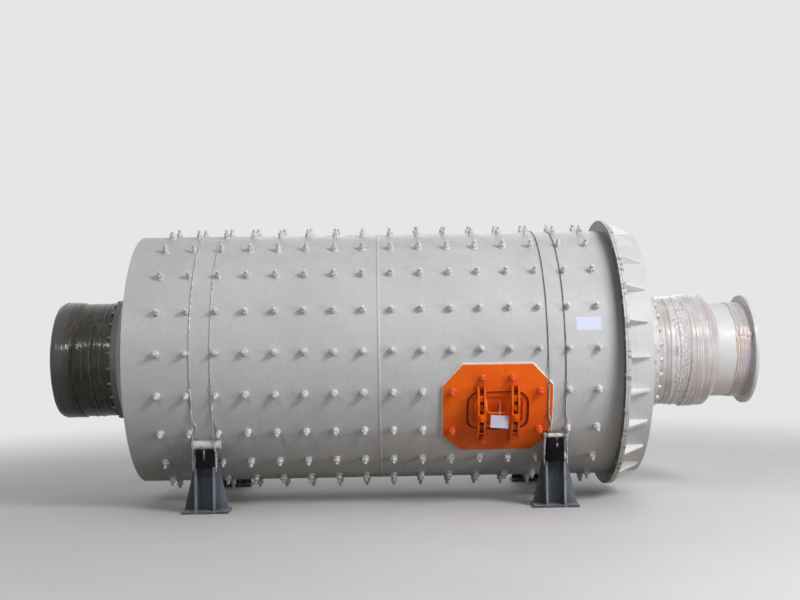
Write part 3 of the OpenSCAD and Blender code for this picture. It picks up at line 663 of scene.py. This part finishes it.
# Dark grey like the feed flange: partly painted shade.
BOLT_GREY = bolt_paint("feed_flange_bolt_shaded_paint", (0.26, 0.27, 0.28), (0.16, 0.165, 0.17))
WELD_WHITE = mill_paint("weld_primer", (0.82, 0.82, 0.82), (0.86, 0.86, 0.86))
WIRE = wire_steel("wire_steel", (0.24, 0.24, 0.236), (0.07, 0.068, 0.066), 0.35)
PALE_WIRE = wire_steel("painted_wire", (0.84, 0.84, 0.835), (0.42, 0.415, 0.41), 0.2)
LASHING = wire_steel("lashing_wire", (0.9, 0.89, 0.88), (0.32, 0.31, 0.3), 0.15)
TIE = wire_steel("tie_wire", (0.92, 0.92, 0.91), (0.5, 0.49, 0.47), 0.1)
TAG_WIRE = wire_steel("tag_wire", (0.86, 0.8, 0.72), (0.6, 0.52, 0.45), 0)

FINISHES = {
    "shell_feed_course": SHELL_PAINT,
    "shell_discharge_course": mill_paint("mill_paint_primer_and_shadow", *SHELL_TONES, primer_and_shadow_at=SHELL_X1),
    "shell_weld_bead": SHELL_PAINT,
    "feed_head": SHELL_PAINT,
    "gear_flange": flange_paint(),
    "discharge_barrel": mill_paint("ribbed_barrel_paint", *END_TONES, painted_side_light=(0.88, 0.885, 0.9)),
    "discharge_head": END_PAINT,
    "discharge_tube": END_PAINT,
    "discharge_flange": mill_paint("end_flange_paint", (0.6, 0.603, 0.615), (0.66, 0.664, 0.675)),
    "feed_trunnion": TRUNNION,
    # The feed flange is painted much darker than the discharge flange: grey paint made darker as painted
    # shade.
    "feed_trunnion_flange": greasy_paint("feed_flange_shaded_paint", (0.15, 0.16, 0.175), (0.22, 0.23, 0.24)),
    "discharge_trunnion": TRUNNION,
    "discharge_trunnion_flange": greasy_paint("discharge_flange_paint", (0.6, 0.6, 0.6), (0.7, 0.7, 0.7)),
    "manhole_frame": orange_paint("manhole_frame_paint", edge=True),
}
for name in ("cover", "clamp_feed_side", "clamp_discharge_side", "clamp_bolts", "handle"):
    FINISHES["manhole_" + name] = ORANGE
STANDS = {}
for end, wire in (("feed", PALE_WIRE), ("discharge", WIRE)):
    lo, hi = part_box(f"front_{end}_stand")
    x = (lo.x + hi.x) / 2
    STANDS[end] = stand_paint(end + "_stand_paint", x)
    block = saddle_block(end + "_saddle_rubber", x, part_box(f"front_{end}_saddle")[1].z)
    for side in ("front", "rear"):
        FINISHES[f"{side}_{end}_stand"] = STANDS[end]
        FINISHES[f"{side}_{end}_saddle"] = block
        FINISHES[f"{side}_{end}_tie_bar"] = BAR
    for name in ("outer", "inner"):
        FINISHES[f"{end}_wire_{name}"] = wire
for name, material in FINISHES.items():
    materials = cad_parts[name].data.materials
    materials.clear()
    materials.append(material)


# Liner bolts on the shell, in rows round it and columns along it
BOLT_FIRST_X = -2.0058
BOLT_PITCH_X = 0.2353
BOLT_COLUMNS = 16
BOLT_ROWS = 20
BOLT_FIRST_ROW = radians(3.14)
WIRE_COLUMNS = (1, 2, 13, 14)
FRAME_COLUMNS = (10, 13)
HATCH_COLUMNS = (11, 12)
HATCH_ROWS = (-2, -1)
WASHER_R_AND_NUT_W = (0.031, 0.056)
SMALLER_AT_WIRE = (0.0246, 0.048)
NUT_FOOT = 0.0125
NUT_TOP = 0.043
STUD_R = 0.0145


def washer(r):
    return lathe([(r, -0.003), (r, 0.0035), (r * 0.95, 0.0075), (r * 0.82, 0.0115), (r * 0.72, 0.013)], 20)


def nut(width, low, high):
    chamfer = (high - low) * 0.12
    return lathe([(width * 0.46, low), (width * 0.5, low + chamfer), (width * 0.5, high - chamfer),
                  (width * 0.44, high)], 6)


def stud(r, low, high, threads):
    pitch = (high - low) / (threads + 1)
    profile = [(r, low)]
    for i in range(threads):
        profile += [(r * 0.9, low + pitch * (i + 0.5)), (r, low + pitch * (i + 1))]
    return lathe(profile + [(r, high - r * 0.2), (r * 0.75, high)], 12)


def row_angle(row):
    return BOLT_FIRST_ROW + tau / BOLT_ROWS * row


rng = Random(4)
feed = []
discharge = []
for column in range(BOLT_COLUMNS):
    x = BOLT_FIRST_X + BOLT_PITCH_X * column
    washer_r, nut_w = SMALLER_AT_WIRE if column in WIRE_COLUMNS else WASHER_R_AND_NUT_W
    for row in range(-BOLT_ROWS // 2, BOLT_ROWS // 2):
        if row in HATCH_ROWS and column in FRAME_COLUMNS + HATCH_COLUMNS:
            continue
        angle = row_angle(row) + rng.uniform(-0.002, 0.002)
        place = mill_place(x + rng.uniform(-0.001, 0.001), angle, SHELL_R)
        leaning = place @ Matrix.Rotation(rng.uniform(-0.04, 0.04), 4, "X")
        spin = Matrix.Rotation(rng.uniform(0, tau), 4, "Z")
        (feed if x < SEAM_X else discharge).extend((
            moved(washer(washer_r), place),
            moved(nut(nut_w, NUT_FOOT, NUT_TOP), leaning @ spin),
            moved(stud(STUD_R, NUT_TOP - 0.0005, rng.uniform(0.067, 0.077), 4), leaning),
        ))
piece("liner_bolts_feed_course", feed, BOLT_WHITE)
piece("liner_bolts_discharge_course", discharge, BOLT_WHITE)

# Bolts that hold the manhole frame: at the liner bolts' own places, and above and below the hatch
HATCH_BOLT_ROWS = (radians(-9.2), radians(-37.9))
HATCH_BOLT_SHIFT = 0.009

rng = Random(8)
places = [(column, row_angle(row), 0) for column in FRAME_COLUMNS for row in HATCH_ROWS]
places += [(column, angle, HATCH_BOLT_SHIFT) for column in HATCH_COLUMNS for angle in HATCH_BOLT_ROWS]
forms = []
for column, angle, shift in places:
    place = mill_place(BOLT_FIRST_X + BOLT_PITCH_X * column + shift, angle, FRAME_R)
    spin = Matrix.Rotation(rng.uniform(0, tau), 4, "Z")
    forms += [moved(washer(0.032), place), moved(nut(0.059, NUT_FOOT, 0.045), place @ spin),
              moved(stud(STUD_R, 0.0435, rng.uniform(0.058, 0.066), 3), place)]
piece("manhole_frame_bolts", forms, BOLT_ORANGE)

# Weld bead round the manhole frame, in the white of the primer
FRAME_HALF_W = 0.44
FRAME_HALF_H = 0.386
FRAME_FLAT_W = 0.28
FRAME_FLAT_H = 0.223
FRAME_BEAD_R = 0.0075


def on_hatch(x, y, r, reach):
    """A point over the middle of the manhole; y is measured across a shell of radius r."""
    return on_mill(MANHOLE_X + x, MANHOLE_ANGLE + asin(y / r), reach)


rng = Random(17)
corners = [(FRAME_FLAT_W, FRAME_HALF_H), (FRAME_HALF_W, FRAME_FLAT_H)]
corners += [(x, -y) for x, y in reversed(corners)]
corners += [(-x, y) for x, y in reversed(corners)]
path = []
for (x0, y0), (x1, y1) in zip(corners, corners[1:] + corners[:1]):
    steps = max(2, int(hypot(x1 - x0, y1 - y0) / 0.009))
    for i in range(steps):
        share = i / steps
        path.append(on_hatch(lerp(x0, x1, share), lerp(y0, y1, share), SHELL_R, SHELL_R + 0.003))
sizes = [FRAME_BEAD_R * (0.9 + 0.2 * (i % 2) + rng.uniform(-0.08, 0.08)) for i in range(len(path))]
piece("manhole_frame_weld", [tube(path, sizes, closed=True)], WELD_WHITE)

# Rope gasket in the gap round the cover
GASKET_HALF_W = 0.243
GASKET_HALF_H = 0.167
GASKET_CORNER = 0.097
GASKET_R = 0.0072
GASKET_SINK = 0.03

r = FRAME_R - GASKET_SINK
corners = []
for quarter, (side_x, side_y) in enumerate(((1, 1), (-1, 1), (-1, -1), (1, -1))):
    for i in range(13):
        a = pi / 2 * (quarter + i / 12)
        x = side_x * (GASKET_HALF_W - GASKET_CORNER) + GASKET_CORNER * cos(a)
        y = side_y * (GASKET_HALF_H - GASKET_CORNER) + GASKET_CORNER * sin(a)
        corners.append(on_hatch(x, y, r, r))
path = []
for a, b in zip(corners, corners[1:] + corners[:1]):
    count = max(1, ceil((b - a).length / 0.012))
    path += [a.lerp(b, i / count) for i in range(count)]
piece("manhole_gasket", [tube(path, GASKET_R, closed=True)], ORANGE)

# Bolts of the trunnion flanges
TRUNNION_FLANGE_R = 0.52
TRUNNION_BOLTS = 24


def add_trunnion_bolts(end, facing, material):
    lo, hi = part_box(end + "_journal_wrap")
    wrap_r = (hi.z - lo.z) / 2 - 0.012
    circle = (wrap_r + TRUNNION_FLANGE_R) / 2
    width = (TRUNNION_FLANGE_R - wrap_r) * 0.98
    washer_form = lathe([(width * 0.54, -0.002), (width * 0.54, 0.003), (width * 0.5, 0.004)], 16)
    forms = []
    for i in range(TRUNNION_BOLTS):
        place = end_place(hi.x if facing < 0 else lo.x, tau * (i + 0.5) / TRUNNION_BOLTS, circle, facing)
        spin = Matrix.Rotation(i * 1.7, 4, "Z")
        forms += [moved(washer_form, place), moved(nut(width, 0.0038, 0.024), place @ spin),
                  moved(stud(width * 0.34, 0.0235, 0.034, 2), place)]
    piece(end + "_trunnion_bolts", forms, material)


add_trunnion_bolts("feed", -1, BOLT_GREY)
add_trunnion_bolts("discharge", 1, BOLT_WHITE)


# Film wraps. Creases run round the wrap, drift along it and fade in and out
COLLAR_H = 0.012
COLLAR_W = 0.17
FILM_T = 0.009
FILM_LEAST = 0.0008
FILM_TAIL = 0.085
WRAP_LENGTH = 3.14
TORN_ANGLE = radians(22)
RUFFLE_TURN = 0.25
RUFFLE_H = 0.021


def crease(rng, x, depth, width):
    """A function for how high a crease stands at a place on the wrap."""
    drift = rng.uniform(-0.018, 0.018)
    sway = rng.uniform(0.002, 0.01)
    phase = rng.uniform(0, tau)
    start = rng.uniform(0, tau)
    span = rng.uniform(0.25, 0.55)

    def height(at, angle):
        middle = x + drift * cos(angle + phase) + sway * sin(3 * angle + phase)
        away = (at - middle) / width
        if abs(away) > 3:
            return 0
        fade = (0.5 + 0.5 * cos(angle - start) - span) * 4 + 0.5
        return depth * exp(-away * away) * min(1, max(0, fade))

    return height


def scattered(rng, start, end, count, depths, widths):
    """Creases spread over a length, raised or sunk by chance."""
    return [crease(rng, lerp(start, end, (i + rng.random()) / count),
                   rng.choice((-1, 1)) * rng.uniform(*depths), rng.uniform(*widths)) for i in range(count)]


def listed(rng, start, end, rows):
    """Creases from rows of a share of the length, a depth and a width."""
    return [crease(rng, lerp(start, end, share), depth, width) for share, depth, width in rows]


def lumps(rng, count, low, high):
    return [(rng.randint(low, high), rng.uniform(2, 30), rng.uniform(0, tau), rng.uniform(0.4, 1))
            for i in range(count)]


def smooth(value, low, high):
    share = min(1, max(0, (value - low) / (high - low)))
    return share * share * (3 - 2 * share)


def film_sleeve(name, node, material, span, outer, inner, creases, waves, lump, around, along,
                edge=None):
    """A wound sleeve between two stations: outer and inner give its radii at a station."""
    verts = []
    uvs = []
    for k, lining in [(0, True)] + [(k, False) for k in range(along + 1)] + [(along, True)]:
        for i in range(around):
            angle = tau * i / around
            x = lerp(*span, k / along)
            if edge:
                x += edge(k / along, angle)
            r = inner(x)
            if not lining:
                rise = sum(height(x, angle) for height in creases)
                swell = sum(share * sin(n * angle + turn * x + phase) for n, turn, phase, share in waves)
                fine = 0.0006 * sin(47 * angle + 310 * x) * sin(29 * angle - 170 * x)
                r = max(outer(x) + rise + lump * swell / len(waves) + fine, r + FILM_LEAST)
            verts.append(on_mill(x, angle, r))
            uvs.append((WRAP_LENGTH * (1 - abs(2 * i / around - 1)), x))
    faces = [[a, d, c, b] for a, b, c, d in ring_faces(along + 3, around, closed=True)]
    piece(name, [(verts, faces)], material, sharp=80, replaces=(node,), uvs=uvs)


def add_feed_film():
    rng = Random(12)
    lo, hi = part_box("feed_journal_wrap")
    top = (hi.z - lo.z) / 2
    collar = lo.x + COLLAR_W
    creases = scattered(rng, lo.x, hi.x, 14, (0.0008, 0.002), (0.004, 0.01))
    creases += listed(rng, lo.x, hi.x, ((0.1, 0.004, 0.006), (0.33, -0.007, 0.005), (0.36, 0.006, 0.004),
                                        (0.55, 0.005, 0.004), (0.68, 0.006, 0.0035), (0.86, 0.005, 0.004)))

    def outer(x):
        rounded = 0.014 * (1 - smooth(x, lo.x, lo.x + 0.05)) ** 2
        return top - COLLAR_H * smooth(x, collar, collar + 0.05) + 0.001 - rounded

    def inner(x):
        return top - FILM_T - COLLAR_H * (x >= collar) - 0.006 * (x < lo.x + 0.006)

    film_sleeve("feed_journal_film", "feed_journal_wrap", greased_film(), (lo.x, hi.x),
                outer, inner, creases, lumps(rng, 9, 2, 9), 0.0075, 320, 130)


def add_discharge_film():
    """The last turns run off the collar and taper down on to the tube."""
    rng = Random(31)
    lo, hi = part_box("discharge_journal_wrap")
    tube_lo, tube_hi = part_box("discharge_tube")
    tube_r = (tube_hi.z - tube_lo.z) / 2
    top = (hi.z - lo.z) / 2
    collar = hi.x - COLLAR_W
    tail = hi.x + FILM_TAIL
    creases = scattered(rng, lo.x + 0.06, hi.x, 16, (0.0008, 0.0022), (0.004, 0.009))
    for i in range(16):
        depth = rng.choice((-1, 1)) * rng.uniform(0.001, 0.003)
        creases.append(crease(rng, lerp(collar, tail, (i + 0.5) / 16), depth, 0.004))
    creases += listed(rng, lo.x, hi.x, ((0.17, -0.005, 0.006), (0.28, 0.006, 0.007), (0.42, 0.007, 0.007),
                                        (0.56, -0.008, 0.006), (0.62, 0.005, 0.005)))

    def outer(x):
        bulge = 0.004 * exp(-((x - collar - 0.03) / 0.09) ** 2)
        body = top - 0.003 - COLLAR_H * (1 - smooth(x, collar - 0.06, collar)) + bulge
        return body + (tube_r + 0.006 - body) * smooth(x, hi.x + 0.002, tail)

    def inner(x):
        if x <= hi.x:
            return top - FILM_T - COLLAR_H * (x < collar - FILM_T)
        return max(tube_r + FILM_LEAST, outer(x) - 0.006)

    material = clear_film("discharge_film", (lo.x + 0.14, lo.x + 0.26), (collar - 0.05, tail))
    film_sleeve("discharge_journal_film", "discharge_journal_wrap", material, (lo.x, tail),
                outer, inner, creases, lumps(rng, 9, 2, 11), 0.005, 320, 150)


def add_band_film():
    """The band round the tube, and the ruffle where it is torn off."""
    rng = Random(5)
    lo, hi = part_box("discharge_tube_wrap")
    top = (hi.z - lo.z) / 2
    creases = [crease(rng, rng.uniform(lo.x, hi.x), rng.choice((-1, 1)) * rng.uniform(0.001, 0.0024),
                      rng.uniform(0.002, 0.005)) for i in range(14)]

    def outer(x):
        share = min(1, max(0, (x - lo.x) / (hi.x - lo.x)))
        return top - 0.0008 + 0.003 * sin(pi * share)

    def inner(x):
        return top - FILM_T / 2

    def edge(share, angle):
        away = (angle - TORN_ANGLE + pi) % tau - pi
        flap = 0.02 * exp(-(away / 0.13) ** 2) * max(0, share - 0.5) * 2
        ragged = 0.004 * sin(9 * angle) + 0.003 * sin(23 * angle + 1)
        return flap + ragged * (2 * share - 1)

    material = clear_film("tube_band_film", None, (lo.x, hi.x), stain_and_low_shade=True)
    film_sleeve("discharge_tube_film", "discharge_tube_wrap", material, (lo.x, hi.x),
                outer, inner, creases, lumps(rng, 6, 3, 17), 0.002, 300, 40, edge)

    start = lerp(lo.x, hi.x, 0.02)
    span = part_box("discharge_flange")[0].x - 0.003 - start

    def gathered(u, v, back):
        rise = smooth(u, 0, 0.14) * smooth(1 - u, 0, 0.12) * smooth(v, 0, 0.3) * smooth(1 - v, 0, 0.14)
        pleat = 0.5 + 0.5 * cos(tau * (4.5 * u + 0.16 * sin(4 * v + 7 * u)))
        narrow = 0.3 + 0.7 * smooth(1 - u, 0, 0.5)
        droop = 0.11 * u ** 3 + 0.012 * sin(11 * u)
        r = top - 0.001 + RUFFLE_H * rise * (0.35 + 0.65 * pleat) - 0.0016 * back
        return on_mill(start + span * u, TORN_ANGLE + RUFFLE_TURN * (v - 0.5) * narrow - droop, r)

    piece("discharge_tube_film_ruffle", [sheet(72, 26, gathered)], torn_film(), sharp=80)


add_feed_film()
add_discharge_film()
add_band_film()


# Lashings: two strands twisted together in a closed loop from the tie bar to the lug on the column
LUG_R = 0.01
LUG_IN = 0.02
COLUMN_HALF_DEPTH = 0.1
LASH_D = 0.006
STRAND_R = 0.0028
STAND_NAMES = [(side, end) for side in ("front", "rear") for end in ("feed", "discharge")]


def arc(y, z, r, start, end, steps=14):
    angles = [lerp(start, end, i / steps) for i in range(steps + 1)]
    return [(y + r * cos(a), z + r * sin(a)) for a in angles]


def lashing_loop(bar_y, bar_z, bar_d, lug_y, lug_z):
    """Path in the plane across the mill, round the bar and the lug."""
    top_r = bar_d / 2 + 1.9 * STRAND_R + 0.0005
    low_r = LUG_R + 1.9 * STRAND_R + 0.0003
    up = atan2(bar_z - lug_z, bar_y - lug_y)
    lean = acos((top_r - low_r) / hypot(bar_z - lug_z, bar_y - lug_y))
    return (arc(bar_y, bar_z, top_r, up - lean, up + lean)
            + arc(lug_y, lug_z, low_r, up + lean, up - lean + tau))


def add_lashings(side, end):
    node = f"{side}_{end}_lashings"
    lo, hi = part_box(f"{side}_{end}_tie_bar")
    lash_lo, lash_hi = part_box(node)
    stand_lo, stand_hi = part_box(f"{side}_{end}_stand")
    facing = FRONT if side == "front" else REAR
    lug_y = (stand_lo.y + stand_hi.y) / 2 + facing * (COLUMN_HALF_DEPTH - LUG_IN)
    loop = lashing_loop((lo.y + hi.y) / 2 * -facing, (lo.z + hi.z) / 2, hi.z - lo.z, lug_y * -facing,
                        stand_hi.z - LUG_IN)
    forms = []
    for x in (lash_lo.x + LASH_D / 2, lash_hi.x - LASH_D / 2):
        path = [Vector((x, -facing * y, z)) for y, z in loop + loop[:1]]
        for phase in (0, pi):
            strand = helix(path, STRAND_R * 0.9, 14, phase, 330)
            forms.append(tube(strand[:-1], STRAND_R, 6, closed=True))
    piece(f"{side}_{end}_lashing_strands", forms, LASHING, replaces=(node,))


for side, end in STAND_NAMES:
    add_lashings(side, end)


# Where a wire comes down to its bar a thin tie is wound round it, with a small open eye on top
TIE_R = 0.0021
WIRE_R = 0.004
TIE_FROM = radians(-12.5)
TIE_TO = radians(-25.5)
EYE_R = 0.018
EYE_END = radians(-35.2)
EYE_BULGE = 0.026


def add_wire_ties(name, lift, facing):
    lo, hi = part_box(name)
    middle = (lo.x + hi.x) / 2
    r = SHELL_R + lift + WIRE_R + 0.001

    def path(steps, point):
        """A path over the wire: point gives x, angle and height from a share of the way."""
        made = []
        for i in range(steps + 1):
            x, angle, height = point(i / steps)
            made.append(on_mill(middle + x, angle, r + height, facing))
        return made

    run = path(24, lambda t: (0, lerp(TIE_FROM, TIE_TO, t), 0))
    eye = path(24, lambda t: (EYE_R * 0.7 * cos(tau * t - pi / 2),
                              TIE_FROM + EYE_R * (1 + sin(tau * t - pi / 2)) / r, 0.003))
    tail = path(8, lambda t: (0.006 + 0.012 * t ** 2, TIE_TO - 0.05 * t, 0.004 + 0.006 * t))
    side_strand = path(20, lambda t: (EYE_BULGE * sin(pi * t) ** 0.8, lerp(TIE_TO, EYE_END, t), 0.002))
    forms = [tube(helix(run, WIRE_R + TIE_R, 7, phase, 150), TIE_R, 6) for phase in (0, pi)]
    forms += [tube(eye, TIE_R * 1.2, 6), tube(tail, TIE_R, 6), tube(side_strand, WIRE_R, 7)]
    piece(f"{name}_{'front' if facing == FRONT else 'rear'}_tie", forms, TIE)


for name in ("feed_wire_outer", "feed_wire_inner", "discharge_wire_inner", "discharge_wire_outer"):
    for facing in (FRONT, REAR):
        on_frame = name == "discharge_wire_inner" and facing == FRONT
        add_wire_ties(name, FRAME_T - 0.002 if on_frame else 0, facing)


# Weld beads on the stands
BEAD_R = 0.0045
THIN_BEAD_R = BEAD_R * 0.9
BASE_T = 0.022
COLUMN_HALF_W = 0.084
COLUMN_WEB_HALF_W = 0.064
PLATE_HALF_T = 0.007
GUSSET_FOOT = 0.182


def bead(a, b, r, rng):
    a = Vector(a)
    b = Vector(b)
    steps = max(4, int((b - a).length / 0.006))
    sizes = [r * (0.85 + 0.3 * (i % 2) + rng.uniform(-0.1, 0.1)) for i in range(steps + 1)]
    return tube([a.lerp(b, i / steps) for i in range(steps + 1)], sizes, 7)


def add_stand_welds(side, end, rng):
    lo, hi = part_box(f"{side}_{end}_stand")
    x = (lo.x + hi.x) / 2
    y = (lo.y + hi.y) / 2
    seams = []
    for way in (-1, 1):
        outer = x + way * COLUMN_HALF_W
        for edge in (-1, 1):
            depth = y + edge * COLUMN_HALF_DEPTH
            plate = y + edge * PLATE_HALF_T
            seams += [
                ((outer, depth, BASE_T), (x + way * COLUMN_WEB_HALF_W, depth, BASE_T), BEAD_R),
                ((outer, y + edge * 0.008, BASE_T), (outer, depth, BASE_T), BEAD_R),
                ((outer, plate, BASE_T + 0.004), (outer, plate, hi.z - 0.002), THIN_BEAD_R),
                ((outer, plate, BASE_T), (x + way * GUSSET_FOOT, plate, BASE_T), THIN_BEAD_R),
            ]
    for edge in (-1, 1):
        plate = y + edge * PLATE_HALF_T
        seams.append(((x - COLUMN_WEB_HALF_W, plate, BASE_T), (x + COLUMN_WEB_HALF_W, plate, BASE_T), BEAD_R))
    piece(f"{side}_{end}_stand_welds", [bead(a, b, r, rng) for a, b, r in seams], STANDS[end])


for seed, (side, end) in enumerate(STAND_NAMES):
    add_stand_welds(side, end, Random(seed))


# Blank label on the shell
LABEL_X = (1.3525, 1.5545)
LABEL_ANGLE = (radians(10.34), radians(16.25))


def label_point(u, v, back):
    x = lerp(*LABEL_X, u)
    curl = 0.0008 * u ** 8 + 0.0008 * (1 - u) ** 8
    r = SHELL_R + (0.0002 if back else 0.0007 + curl + 0.0002 * sin(40 * x))
    return on_mill(x, lerp(*LABEL_ANGLE, v), r)


piece("shell_label_blank", [sheet(14, 10, label_point)], paper("blank_paper", 1))

# Blank paper tag that leans on the lower rungs of the clamps, hung from the handle by a thin wire
TAG_W = 0.142
TAG_H = 0.1
TAG_TILT = radians(-3.5)
TAG_WIRE_R = 0.0016
HANDLE_BAR_R = 0.008
TURN_R = HANDLE_BAR_R + 0.002

handle_lo, handle_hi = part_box("manhole_handle")
TAG_TOP = Vector(((handle_lo.x + handle_hi.x) / 2 + 0.01, handle_lo.y - 0.002, handle_lo.z + 0.02))
TAG_HANG = TAG_TOP + Vector((0, -0.004, -0.03))


def tag_point(u, v, back):
    across = (u - 0.5) * TAG_W
    down = -TAG_H * (1 - v)
    bow = 0.004 * sin(pi * u) + 0.006 * (down / TAG_H) ** 2
    x = across * cos(TAG_TILT) - down * sin(TAG_TILT)
    z = across * sin(TAG_TILT) + down * cos(TAG_TILT)
    return TAG_HANG + Vector((x, -bow + 0.0008 * back, z))


piece("manhole_tag_blank", [sheet(12, 10, tag_point)], paper("tag_paper", 0.8))
hole = TAG_HANG + Vector((0, -0.004, -0.008))
free_end = TAG_TOP + Vector((0.003, 0.008, 0.085))
wire = [free_end.lerp(TAG_TOP, i / 8) + Vector((0.003 * sin(pi * i / 8), -0.002, 0)) for i in range(8)]
wire += [TAG_TOP.lerp(hole, i / 6) + Vector((0, -0.002, 0)) for i in range(7)]
forms = [tube(wire, TAG_WIRE_R, 6)]
for shift in (-0.0045, 0, 0.0045):
    turn = [(TAG_TOP.x + shift, handle_lo.y + HANDLE_BAR_R - TURN_R * cos(tau * i / 16),
             handle_lo.z + HANDLE_BAR_R + TURN_R * sin(tau * i / 16)) for i in range(16)]
    forms.append(tube(turn, 0.002, 6, closed=True))
piece("manhole_tag_wire", forms, TAG_WIRE)


# Light
def area(name, place, target, size, power):
    data = bpy.data.lights.new(name, "AREA")
    data.shape = "RECTANGLE"
    data.size, data.size_y = size
    data.energy = power
    lamp = bpy.data.objects.new(name, data)
    lamp.location = place
    lamp.rotation_euler = (Vector(target) - Vector(place)).to_track_quat("-Z", "Y").to_euler()
    scene.collection.objects.link(lamp)


area("key", (6.0, -6.5, 6.5), (0.3, 0, 1.2), (3.0, 3.0), 545)
area("top", (0.5, -1.0, 7.5), (0, 0, 1), (9, 3), 45)
area("side", (9.0, -6.5, 1.5), (2.2, -0.5, 1), (3, 2), 215)
area("glint", (-4.5, -9, 6.2), (-2.2, 0, 1.2), (1.3, 0.8), 122)
area("back", (1, 7, 5), (0, 0, 1), (7, 4), 120)

world = bpy.data.worlds.new("studio")
scene.world = world
world.use_nodes = True
graph = Graph(world.node_tree)
back = world.node_tree.nodes["Background"]
graph.feed(back.inputs["Color"], graph.mix(graph.seen(), (0.21, 0.215, 0.23), BACKDROP))
back.inputs["Strength"].default_value = 1.0

# Floor
FLOOR_HALF = 40
mesh = bpy.data.meshes.new("floor")
mesh.from_pydata([(x * FLOOR_HALF, y * FLOOR_HALF, 0) for x, y in ((-1, -1), (1, -1), (1, 1), (-1, 1))], [],
                 [(0, 1, 2, 3)])
mesh.materials.append(shop_floor())
floor = bpy.data.objects.new("floor", mesh)
scene.collection.objects.link(floor)
